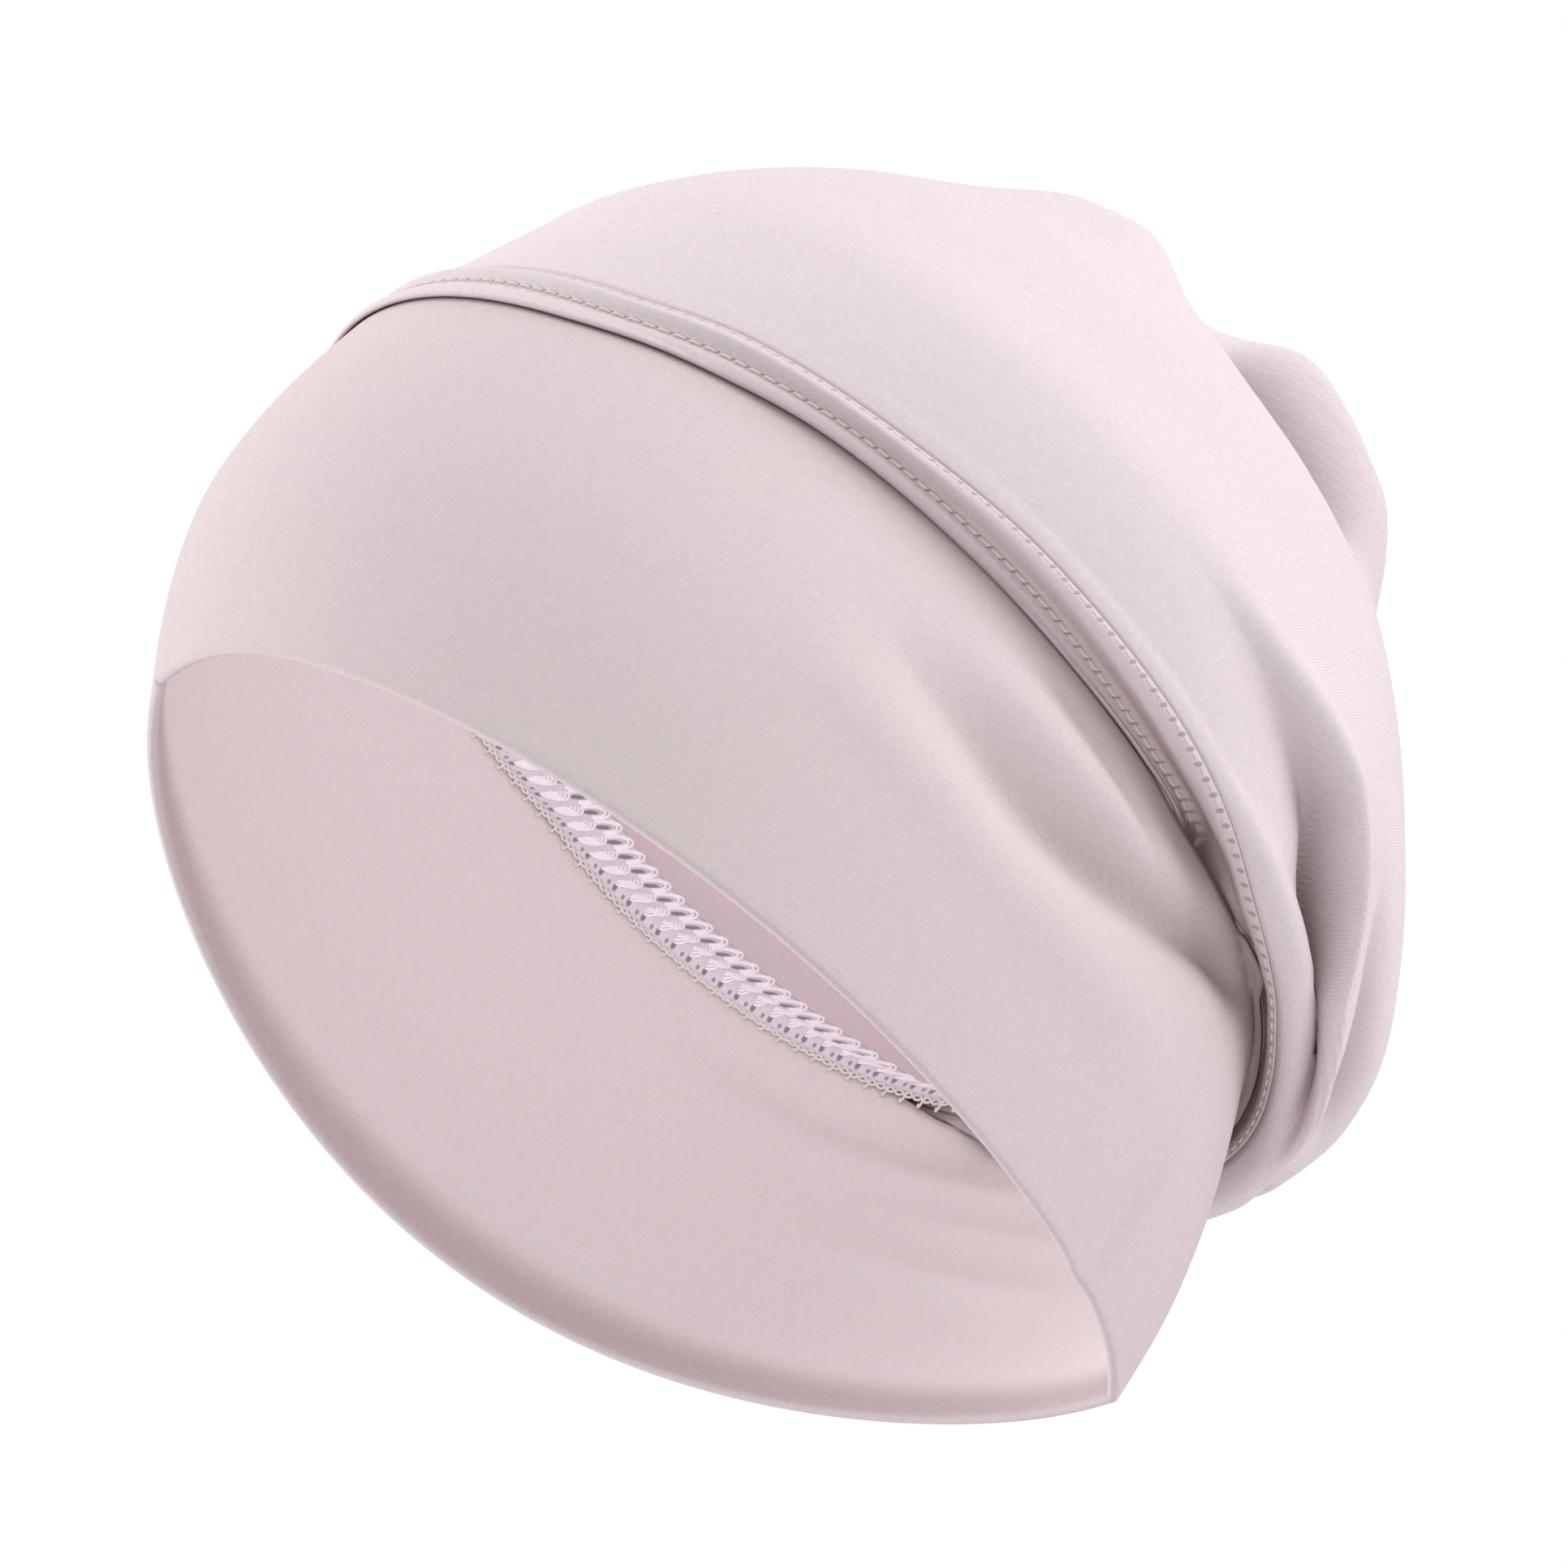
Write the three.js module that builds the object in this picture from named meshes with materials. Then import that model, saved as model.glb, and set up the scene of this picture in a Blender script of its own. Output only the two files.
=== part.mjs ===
// A slouchy jersey cap, as worn under a scarf: a doubled band, a gathered crown,
// the crown's turned edge stitched over the band, and the seam allowance inside.
// Millimetres, +Z up, front of the cap at -Y, wearer's left at +X,
// origin at the middle of the head opening.

import * as THREE from 'three';
import { ParametricGeometry } from 'three/addons/geometries/ParametricGeometry.js';
import { mergeVertices } from 'three/addons/utils/BufferGeometryUtils.js';

// The head opening: an egg-shaped ring that slopes down to the nape.
const OPENING_WIDTH = 167;
const OPENING_LENGTH = 210;
const OPENING_SLOPE = 31.4;
const OPENING_SIDE_DIP = 15;
const OPENING_EGG = -0.24;
const OPENING_NAPE_TAPER = 0.5;
const NAPE_POINT = 5;
const NAPE_REACH = 14;
const BROW_POINT = 2;
const BROW_REACH = 10;

// The seam ring, where the band and the crown are joined.
const SEAM_WIDTH = 145.6;
const SEAM_LENGTH = 218;
const SEAM_SLOPE = 36.6;
const SEAM_SIDE_DIP = 0.75;
const SEAM_EGG = -0.03;
const SEAM_BACK = 30.4;
const SEAM_RISE = 74.3;

// The band between the two rings, and how far it rounds out of a straight line.
const BAND_WALL = 2.2;
const BULGE_FRONT = 8.8;
const BULGE_SIDE = 6.3;
const BULGE_BACK = 4;
const CREASE_WIDTH = 8;
const CREASE_DEPTH = 2.4;

// The crown bag above the seam ring.
const CROWN_WALL = 1.2;
const CROWN_RISE = 109;
const CROWN_SLOUCH = 12.5;
const CROWN_TILT = 5.2;
const FOLD_WIDTH = 10;
const FOLD_DEPTH = 11.5;
const FOLD_LEAN = 2.5;

// The crown's turned edge, stitched down in two rows over the band.
const ROLL_WIDTH = 9.2;
const ROLL_WALL = 1.2;
const ROLL_LAP = 3;
const ROLL_PUFF = 2.6;
const ROLL_PUFF_STARTS = 60;
const ROLL_PUFF_FULL_BY = 140;
const GROOVE_FRONT = 0.5;
const GROOVE_BACK = 3.6;
const GROOVE_STARTS = 62;
const GROOVE_FULL_BY = 140;
const GROOVE_EASES_FROM = 148;

// The seam allowance inside the crown, a little narrower than the stitched edge.
const ALLOWANCE_WALL = 1;
const ALLOWANCE_REACH = 0.88;
const ALLOWANCE_STANDS_TO = 96;
const ALLOWANCE_FLAT_FROM = 136;

// The clearance between pieces that lie on each other.
const GAP = 0.3;

// Columns round each piece, closest together where the folds are.
const COLUMNS = 72;
const COLUMN_CROWDING = 0.38;
const CROWDED_AT = 150;

// The length of cloth from the seam ring to the top, along the crown.
const CROWN_LENGTH = CROWN_RISE * 1.33;

// Crown sections. along: share of the crown's length; up: share of its rise;
// width and length: shares of the seam ring's; back: share of the slouch; tilt: share of the tilt.
const CROWN_SECTIONS = [
  { along: 0.00, up: 0.000, width: 1.000, length: 1.000, back: 0.00, tilt: 0.00 },
  { along: 0.09, up: 0.096, width: 1.113, length: 1.050, back: 0.80, tilt: 1.00 },
  { along: 0.24, up: 0.284, width: 1.154, length: 1.028, back: 1.00, tilt: 0.92 },
  { along: 0.42, up: 0.509, width: 1.065, length: 0.922, back: 0.76, tilt: 0.69 },
  { along: 0.62, up: 0.748, width: 0.920, length: 0.734, back: 0.56, tilt: 0.62 },
  { along: 0.80, up: 0.922, width: 0.673, length: 0.495, back: 0.32, tilt: 0.46 },
  { along: 0.91, up: 0.982, width: 0.343, length: 0.257, back: 0.24, tilt: 0.19 },
  { along: 1.00, up: 1.000, width: 0.000, length: 0.000, back: 0.24, tilt: 0.00 },
];

// Crown folds, each a ridge or a valley along a line through three places.
// at: degrees round the cap, from the front by the left; along: share of the crown's length;
// width, depth and lean: shares of the fold's; fade: degrees over which each end dies out.
const CROWN_FOLDS = [
  // left side, out of the gather at the nape
  {
    at: [118, 150, 174], along: [0.130, 0.085, 0.078],
    width: [1.0, 0.45], depth: [0.40, 0.16], lean: 1.0, fade: [30, 16],
  },
  {
    at: [108, 145, 172], along: [0.300, 0.135, 0.098],
    width: [0.8, 0.40], depth: [-1.00, -0.34], lean: 0.0, fade: [40, 16],
  },
  {
    at: [115, 148, 172], along: [0.385, 0.180, 0.128],
    width: [1.0, 0.50], depth: [0.19, 0.15], lean: -0.4, fade: [34, 16],
  },
  {
    at: [128, 152, 172], along: [0.420, 0.235, 0.165],
    width: [0.9, 0.50], depth: [-0.43, -0.26], lean: 0.0, fade: [34, 16],
  },
  // right side, the same gather
  {
    at: [186, 210, 238], along: [0.078, 0.085, 0.120],
    width: [0.45, 1.0], depth: [0.16, 0.32], lean: 1.0, fade: [16, 30],
  },
  {
    at: [188, 215, 248], along: [0.098, 0.130, 0.270],
    width: [0.40, 0.8], depth: [-0.34, -0.80], lean: 0.0, fade: [16, 36],
  },
  {
    at: [188, 212, 242], along: [0.128, 0.180, 0.350],
    width: [0.50, 1.0], depth: [0.15, 0.26], lean: -0.4, fade: [16, 34],
  },
  {
    at: [188, 208, 232], along: [0.165, 0.230, 0.400],
    width: [0.50, 0.9], depth: [-0.26, -0.39], lean: 0.0, fade: [16, 34],
  },
  // lumps of loose cloth at the top
  {
    at: [46, 66, 84], along: [0.840, 0.835, 0.820],
    width: [1.5, 1.3], depth: [0.85, 0.85], lean: 0.0, fade: [30, 24],
  },
  {
    at: [104, 130, 165], along: [0.820, 0.800, 0.780],
    width: [1.1, 1.2], depth: [0.62, 0.50], lean: 0.0, fade: [26, 26],
  },
  {
    at: [100, 122, 150], along: [0.730, 0.705, 0.690],
    width: [0.6, 0.6], depth: [-0.25, -0.25], lean: 0.0, fade: [20, 18],
  },
  // the tail under the gather
  {
    at: [158, 172, 200], along: [0.165, 0.160, 0.150],
    width: [0.9, 0.9], depth: [0.26, 0.26], lean: 0.0, fade: [22, 22],
  },
];

// Creases of the band. along: share of the band's height, from the opening up.
const BAND_CREASES = [
  {
    at: [90, 112, 140], along: [0.660, 0.590, 0.660],
    width: [0.8, 0.8], depth: [-1.0, -1.0], lean: 0, fade: [22, 22],
  },
  {
    at: [88, 110, 138], along: [0.500, 0.440, 0.500],
    width: [1.0, 1.0], depth: [0.58, 0.58], lean: 0, fade: [22, 22],
  },
  {
    at: [138, 146, 152], along: [0.080, 0.300, 0.650],
    width: [1.2, 1.2], depth: [-0.5, -0.5], lean: 0, fade: [10, 10],
  },
  {
    at: [214, 236, 262], along: [0.340, 0.300, 0.380],
    width: [0.7, 0.7], depth: [-0.8, -0.8], lean: 0, fade: [24, 24],
  },
  {
    at: [210, 232, 258], along: [0.500, 0.470, 0.560],
    width: [0.7, 0.7], depth: [-0.8, -0.8], lean: 0, fade: [24, 24],
  },
];

// Rows of each piece, as shares of its length.
const BAND_ROWS = [0, 0.045, 0.17, 0.31, 0.45, 0.59, 0.73, 0.87, 1];
const CROWN_ROWS = [
  0.095, 0.118, 0.145, 0.175, 0.21, 0.25, 0.30, 0.36, 0.43,
  0.52, 0.61, 0.69, 0.75, 0.805, 0.87, 0.94, 1,
];
const SEAM_ROWS = [0.28, 0.46, 0.75, 1];

// The share of the stitched edge's width by which the crown's surface is plain again.
const ROLL_ENDS = 1.2;

const UP = new THREE.Vector3(0, 0, 1);
const BACK = new THREE.Vector3(0, 1, 0);
const radians = THREE.MathUtils.degToRad;

/** An ease from 0 to 1. */
function ease(x) {
  return THREE.MathUtils.smoothstep(x, 0, 1);
}

/** A smooth curve without overshoot through the values at rising knots. */
function through(knots, values, x) {
  const last = knots.length - 1;
  const at = THREE.MathUtils.clamp(x, knots[0], knots[last]);
  const rise = (k) => (values[k + 1] - values[k]) / (knots[k + 1] - knots[k]);
  const slope = (k) => {
    if (k === 0) return rise(0);
    if (k === last) return rise(last - 1);
    const before = rise(k - 1);
    const after = rise(k);
    return before * after > 0 ? (2 * before * after) / (before + after) : 0;
  };
  let k = 0;
  while (k < last - 1 && at > knots[k + 1]) k += 1;
  const span = knots[k + 1] - knots[k];
  const u = (at - knots[k]) / span;
  const u2 = u * u;
  const u3 = u2 * u;
  return (2 * u3 - 3 * u2 + 1) * values[k]
    + (u3 - 2 * u2 + u) * span * slope(k)
    + (3 * u2 - 2 * u3) * values[k + 1]
    + (u3 - u2) * span * slope(k + 1);
}

/** Degrees from the centre front, 0 to 180, whichever side the angle is on. */
function fromFront(angle) {
  return angle <= 180 ? angle : 360 - angle;
}

/** A point of a sloped, egg-shaped ring. */
function ringPoint(angle, halfWidth, halfLength, slope, dip, egg, taper) {
  const round = radians(angle);
  const tilt = radians(slope);
  const narrowing = 1 - taper * ((1 - Math.cos(round)) / 2) ** 2;
  const across = halfWidth * Math.sin(round + egg * Math.sin(round)) * narrowing;
  const back = -halfLength * Math.cos(round);
  const lift = -dip * Math.sin(round) ** 2;
  return new THREE.Vector3(
    across,
    back * Math.cos(tilt) + lift * Math.sin(tilt),
    -back * Math.sin(tilt) + lift * Math.cos(tilt),
  );
}

/** The opening's ring, with the small points at the nape and at the brow. */
function openingPoint(angle) {
  const point = ringPoint(angle, OPENING_WIDTH / 2, OPENING_LENGTH / 2, OPENING_SLOPE,
    OPENING_SIDE_DIP, OPENING_EGG, OPENING_NAPE_TAPER);
  const front = fromFront(angle);
  const reach = NAPE_POINT * Math.exp((front - 180) / NAPE_REACH)
    - BROW_POINT * Math.exp(-front / BROW_REACH);
  const tilt = radians(OPENING_SLOPE);
  return point.addScaledVector(BACK, reach * Math.cos(tilt)).addScaledVector(UP, -reach * Math.sin(tilt));
}

/** The seam's ring. */
function seamPoint(angle) {
  return ringPoint(angle, SEAM_WIDTH / 2, SEAM_LENGTH / 2, SEAM_SLOPE, SEAM_SIDE_DIP, SEAM_EGG, 0)
    .addScaledVector(BACK, SEAM_BACK)
    .addScaledVector(UP, SEAM_RISE);
}

/** The height of the band's cloth at an angle, from ring to ring. */
function bandHeight(angle) {
  return openingPoint(angle).distanceTo(seamPoint(angle));
}

/** How far the band's middle stands out of the straight line between its rings. */
function bandBulge(angle) {
  const round = radians(angle);
  const front = (1 + Math.cos(round)) / 2;
  const side = Math.sin(round) ** 2;
  return BULGE_FRONT * front + BULGE_BACK * (1 - front)
    + (BULGE_SIDE - (BULGE_FRONT + BULGE_BACK) / 2) * side;
}

/** A point of the plain band, at a share of its height. */
function bandPoint(angle, share) {
  const step = 0.5;
  const low = openingPoint(angle);
  const high = seamPoint(angle);
  const plain = (a) => ringPoint(a, OPENING_WIDTH / 2, OPENING_LENGTH / 2, OPENING_SLOPE,
    OPENING_SIDE_DIP, OPENING_EGG, OPENING_NAPE_TAPER);
  const round = plain(angle + step).sub(plain(angle)).add(seamPoint(angle + step)).sub(high);
  const out = round.cross(seamPoint(angle).sub(plain(angle))).normalize();
  return low.lerp(high, share).addScaledVector(out, bandBulge(angle) * Math.sin(Math.PI * share));
}

/** A point of the plain crown, at a share of its length. */
function crownPoint(angle, share) {
  const knots = CROWN_SECTIONS.map((row) => row.along);
  const column = (name) => through(knots, CROWN_SECTIONS.map((row) => row[name]), share);
  const slope = SEAM_SLOPE + column('tilt') * CROWN_TILT;
  const tilt = radians(SEAM_SLOPE);
  const up = column('up') * CROWN_RISE;
  const back = column('back') * CROWN_SLOUCH;
  const halfWidth = column('width') * SEAM_WIDTH / 2;
  const halfLength = column('length') * SEAM_LENGTH / 2;
  return ringPoint(angle, halfWidth, halfLength, slope, SEAM_SIDE_DIP * (1 - share), SEAM_EGG, 0)
    .addScaledVector(BACK, SEAM_BACK + up * Math.sin(tilt) + back * Math.cos(tilt))
    .addScaledVector(UP, SEAM_RISE + up * Math.cos(tilt) - back * Math.sin(tilt));
}

/** A point of the plain cap, at a distance along the cloth above the seam. */
function plainPoint(angle, distance) {
  if (distance <= 0) return bandPoint(angle, Math.max(0, 1 + distance / bandHeight(angle)));
  return crownPoint(angle, Math.min(1, distance / CROWN_LENGTH));
}

/** The plain cap's point, its outward direction and its direction towards the top. */
function plainFrame(angle, distance) {
  const reach = 2.5;
  const low = -bandHeight(angle);
  const middle = THREE.MathUtils.clamp(distance, low + reach, CROWN_LENGTH - reach);
  const along = plainPoint(angle, middle + reach).sub(plainPoint(angle, middle - reach)).normalize();
  const round = plainPoint(angle + 1, middle).sub(plainPoint(angle - 1, middle));
  const out = round.cross(along).normalize();
  return { point: plainPoint(angle, distance), out, along };
}

/** The height and the slide of a table of folds at a place, in millimetres. */
function foldsAt(table, angle, share, clothLength, foldWidth, foldDepth, foldLean) {
  let height = 0;
  let slide = 0;
  for (const fold of table) {
    const [first, , last] = fold.at;
    const start = ease(0.5 + (angle - first) / fold.fade[0]);
    const end = ease(0.5 + (last - angle) / fold.fade[1]);
    const passed = THREE.MathUtils.clamp((angle - first) / (last - first), 0, 1);
    const width = THREE.MathUtils.lerp(fold.width[0], fold.width[1], passed) * foldWidth;
    const depth = THREE.MathUtils.lerp(fold.depth[0], fold.depth[1], passed) * foldDepth;
    const away = (share - through(fold.at, fold.along, angle)) * clothLength / width;
    const strength = start * end * Math.exp(-away * away);
    height += depth * strength;
    slide += fold.lean * foldLean * strength;
  }
  return { height, slide };
}

/** How far an angle has gone from a start to a full value, from 0 to 1. */
function between(angle, start, full) {
  return ease((angle - start) / (full - start));
}

/** The depth of the groove between the lip and the roll: shallow in front, deepest at the back sides. */
function grooveDepth(angle) {
  const front = fromFront(angle);
  const deepening = between(front, GROOVE_STARTS, GROOVE_FULL_BY)
    - between(front, GROOVE_EASES_FROM, 180) / 2;
  return GROOVE_FRONT + (GROOVE_BACK - GROOVE_FRONT) * deepening;
}

/** The outer height of the stitched edge, as far as the crown's own surface. */
function rollHeight(angle, distance) {
  const lip = ROLL_WALL + GAP;
  const puff = ROLL_PUFF * (0.6 + 0.4 * between(fromFront(angle), ROLL_PUFF_STARTS, ROLL_PUFF_FULL_BY));
  const knots = [-ROLL_LAP / ROLL_WIDTH, 0.05, ...SEAM_ROWS, ROLL_ENDS];
  const heights = [lip, lip, lip * 0.4, -grooveDepth(angle), puff, puff * 0.2, 0];
  return through(knots, heights, distance / ROLL_WIDTH);
}

/** How much thicker a wall reads, straight out of the plain cap, where the stitched edge is steep. */
function steepness(angle, distance) {
  const step = 0.6;
  const rise = rollHeight(angle, distance + step) - rollHeight(angle, distance - step);
  return Math.hypot(1, rise / (2 * step));
}

/** The cap's visible outer surface, lowered by a depth straight into the cloth. */
function surfacePoint(angle, distance, depth) {
  const { point, out, along } = plainFrame(angle, distance);
  if (distance < 0) {
    const share = 1 + distance / bandHeight(angle);
    const crease = foldsAt(BAND_CREASES, angle, share, bandHeight(angle), CREASE_WIDTH, CREASE_DEPTH, 0);
    const calm = ease((1 - share) * bandHeight(angle) / CREASE_WIDTH);
    return point.addScaledVector(out, crease.height * calm - depth);
  }
  const share = distance / CROWN_LENGTH;
  const fold = foldsAt(CROWN_FOLDS, angle, share, CROWN_LENGTH, FOLD_WIDTH, FOLD_DEPTH, FOLD_LEAN);
  const calm = ease((1 - share) / 0.1) * ease(distance / ROLL_WIDTH);
  return point
    .addScaledVector(out, fold.height * calm - depth)
    .addScaledVector(along, fold.slide * calm);
}

/** The same surface, lowered square to its folds rather than to the plain cap. */
function wallPoint(angle, distance, depth) {
  if (depth === 0) return surfacePoint(angle, distance, 0);
  const reach = 1.5;
  const end = distance < 0 ? -bandHeight(angle) : CROWN_LENGTH;
  const middle = distance < 0
    ? THREE.MathUtils.clamp(distance, end + reach, -reach)
    : THREE.MathUtils.clamp(distance, 0, end - reach * 2);
  const along = surfacePoint(angle, middle + reach, 0).sub(surfacePoint(angle, middle - reach, 0));
  const round = surfacePoint(angle + 1, middle, 0).sub(surfacePoint(angle - 1, middle, 0));
  const out = round.cross(along).normalize();
  return surfacePoint(angle, distance, 0).addScaledVector(out, -depth);
}

/** The angle of a column, closer together round the back left. */
function columnAngle(u) {
  const even = u * 360;
  return even - COLUMN_CROWDING * THREE.MathUtils.radToDeg(
    Math.sin(radians(even - CROWDED_AT)) + Math.sin(radians(CROWDED_AT)),
  );
}

/** The triangles of a wall's rings, with the diagonals of its two faces running the same way. */
function ringTriangles(ringCount) {
  const across = COLUMNS + 1;
  const index = [];
  for (let ring = 0; ring < ringCount; ring += 1) {
    for (let column = 0; column < COLUMNS; column += 1) {
      const a = ring * across + column;
      const [b, c, d] = [a + 1, a + across + 1, a + across];
      if (ring < ringCount / 2) index.push(a, b, d, b, c, d);
      else index.push(a, b, c, a, c, d);
    }
  }
  return index;
}

/** One closed cloth wall: rings of points, from its outer face round to its inner face. */
function clothWall(name, rings, colour, roughness) {
  const place = (u, v, target) => {
    const ring = rings[Math.round(v * rings.length) % rings.length];
    target.copy(ring(columnAngle(u % 1)));
  };
  const sheet = new ParametricGeometry(place, COLUMNS, rings.length);
  sheet.deleteAttribute('normal');
  sheet.deleteAttribute('uv');
  sheet.setIndex(ringTriangles(rings.length));
  const geometry = mergeVertices(sheet, 1e-3);
  const index = geometry.getIndex().array;
  const kept = [];
  for (let i = 0; i < index.length; i += 3) {
    const [a, b, c] = [index[i], index[i + 1], index[i + 2]];
    if (a !== b && b !== c && c !== a) kept.push(a, b, c);
  }
  if (volumeOf(geometry, kept) < 0) kept.reverse();
  geometry.setIndex(kept);
  geometry.computeVertexNormals();
  const material = new THREE.MeshStandardMaterial({ color: colour, roughness, metalness: 0 });
  const mesh = new THREE.Mesh(geometry, material);
  mesh.name = name;
  return mesh;
}

/** Six times the signed volume inside a closed mesh. */
function volumeOf(geometry, index) {
  const corner = [new THREE.Vector3(), new THREE.Vector3(), new THREE.Vector3()];
  const position = geometry.getAttribute('position');
  let volume = 0;
  for (let i = 0; i < index.length; i += 3) {
    corner.forEach((point, k) => point.fromBufferAttribute(position, index[i + k]));
    volume += corner[0].dot(corner[1].cross(corner[2]));
  }
  return volume;
}

/** The doubled band, folded over at the opening. */
function makeBand() {
  const top = -GAP;
  const at = (angle, row) => -bandHeight(angle) + row * (bandHeight(angle) + top);
  const outer = BAND_ROWS.map((row) => (angle) => wallPoint(angle, at(angle, row), 0));
  const inner = BAND_ROWS.map((row) => (angle) => wallPoint(angle, at(angle, row), BAND_WALL));
  return clothWall('band', [...outer, ...inner.reverse()], 0xd8c8c9, 0.92);
}

/** The distances above the seam of the rows that the three pieces at the seam share. */
function seamRows() {
  return [GAP, ...SEAM_ROWS.map((row) => row * ROLL_WIDTH)];
}

/** The depth of the turned edge and the clearance under it, at a distance above the seam. */
function tuckDepth(angle, distance) {
  return (ROLL_WALL + GAP) * steepness(angle, distance) - rollHeight(angle, distance);
}

/** The crown bag, with its edge tucked under the stitched roll. */
function makeCrown() {
  const tucked = seamRows();
  const open = CROWN_ROWS.map((row) => Math.max(row * CROWN_LENGTH, ROLL_WIDTH * ROLL_ENDS));
  const outer = [
    ...tucked.map((d) => (angle) => surfacePoint(angle, d, tuckDepth(angle, d))),
    ...open.map((d) => (angle) => wallPoint(angle, d, 0)),
  ];
  const inner = [
    ...tucked.map((d) => (angle) => (
      surfacePoint(angle, d, tuckDepth(angle, d) + CROWN_WALL * steepness(angle, d))
    )),
    ...open.map((d) => (angle) => wallPoint(angle, d, CROWN_WALL)),
  ];
  return clothWall('crown', [...outer, ...inner.reverse()], 0xe8dadf, 0.92);
}

/** The stitched edge: a lip that laps the band, a groove and a soft roll. */
function makeRoll() {
  const rows = [-ROLL_LAP, ...seamRows()];
  const outer = rows.map((d) => (angle) => surfacePoint(angle, d, -rollHeight(angle, d)));
  const inner = rows.map((d) => (angle) => (
    surfacePoint(angle, d, ROLL_WALL * steepness(angle, d) - rollHeight(angle, d))
  ));
  return clothWall('seam_roll', [...outer, ...inner.reverse()], 0xe3d5da, 0.92);
}

/** The depth under the crown of a line that carries straight on from the band's inner face. */
function straightDepth(angle, distance) {
  const reach = 4;
  const seam = plainPoint(angle, 0);
  const along = plainPoint(angle, 0).sub(plainPoint(angle, -reach)).normalize();
  const round = plainPoint(angle + 1, -reach).sub(plainPoint(angle - 1, -reach));
  const out = round.cross(along).normalize();
  const line = seam.addScaledVector(along, distance).addScaledVector(out, -CROWN_WALL - 2 * GAP);
  const frame = plainFrame(angle, distance);
  return frame.point.sub(line).dot(frame.out);
}

/** The seam allowance: it stands up in line with the band, and lies flat under the back folds. */
function makeAllowance() {
  const rows = seamRows();
  rows[rows.length - 1] *= ALLOWANCE_REACH;
  const clear = (angle, d) => tuckDepth(angle, d) + (CROWN_WALL + 2.5 * GAP) * steepness(angle, d);
  const depth = (angle, d) => {
    const flat = between(fromFront(angle), ALLOWANCE_STANDS_TO, ALLOWANCE_FLAT_FROM);
    const standing = Math.max(clear(angle, d), straightDepth(angle, d));
    return THREE.MathUtils.lerp(standing, clear(angle, d), flat);
  };
  const outer = rows.map((d) => (angle) => surfacePoint(angle, d, depth(angle, d)));
  const inner = rows.map((d) => (angle) => (
    surfacePoint(angle, d, depth(angle, d) + ALLOWANCE_WALL * steepness(angle, d))
  ));
  return clothWall('seam_allowance', [...outer, ...inner.reverse()], 0xcdc0d0, 0.85);
}

const cap = new THREE.Group();
cap.add(makeBand());
cap.add(makeCrown());
cap.add(makeRoll());
cap.add(makeAllowance());

export default cap;
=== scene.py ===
"""A slouchy jersey underscarf cap, dressed in knit cloth round its construction solids.

Metres, +Z up, front of the cap at -Y, wearer's left at +X, origin at the middle of the head
opening. Angles are in degrees round the cap: 0 the centre front, 90 the wearer's left, 180 the
nape. Distances run along the cloth from the seam: below it along the band, above it to the top.
"""
import logging
import math
from dataclasses import dataclass
from enum import Enum
from functools import cached_property
from typing import Callable, Sequence

import bmesh
import bpy
import numpy as np
from mathutils import Matrix, Vector


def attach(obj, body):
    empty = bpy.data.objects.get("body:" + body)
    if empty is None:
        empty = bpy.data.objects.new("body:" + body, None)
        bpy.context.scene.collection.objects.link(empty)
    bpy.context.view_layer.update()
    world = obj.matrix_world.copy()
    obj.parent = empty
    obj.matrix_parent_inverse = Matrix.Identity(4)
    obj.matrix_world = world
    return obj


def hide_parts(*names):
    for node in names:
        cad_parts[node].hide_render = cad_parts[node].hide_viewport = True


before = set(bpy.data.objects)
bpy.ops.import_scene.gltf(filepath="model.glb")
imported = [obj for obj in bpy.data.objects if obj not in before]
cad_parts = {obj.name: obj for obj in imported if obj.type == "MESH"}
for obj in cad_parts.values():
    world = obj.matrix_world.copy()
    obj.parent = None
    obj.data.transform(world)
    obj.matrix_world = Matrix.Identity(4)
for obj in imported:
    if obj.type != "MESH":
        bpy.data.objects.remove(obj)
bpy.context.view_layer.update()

Array = np.ndarray
Place = Callable[[Array, Array], Array]
Row = tuple[float, ...]
Colour = tuple[float, float, float]
Object, Material = bpy.types.Object, bpy.types.Material
Node, Socket = bpy.types.Node, bpy.types.NodeSocket
Tint = Socket | Colour
MM = 0.001
UP = np.array([0.0, 0.0, 1.0])
BACK = np.array([0.0, 1.0, 0.0])
log = logging.getLogger("cap")


class Slot(Enum):
    """The record's material slots."""

    BAND = "band_jersey"
    CROWN = "crown_jersey"
    ROLL = "roll_jersey"
    ALLOWANCE = "allowance_cloth"
    THREAD = "sewing_thread"


# Small helpers for curves and directions


def ease(x: Array) -> Array:
    """An ease from 0 to 1."""
    x = np.clip(x, 0.0, 1.0)
    return x * x * (3.0 - 2.0 * x)


def between(x: Array, start: float, full: float) -> Array:
    """How far x has gone from a start to a full value, eased from 0 to 1."""
    return ease((x - start) / (full - start))


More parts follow.
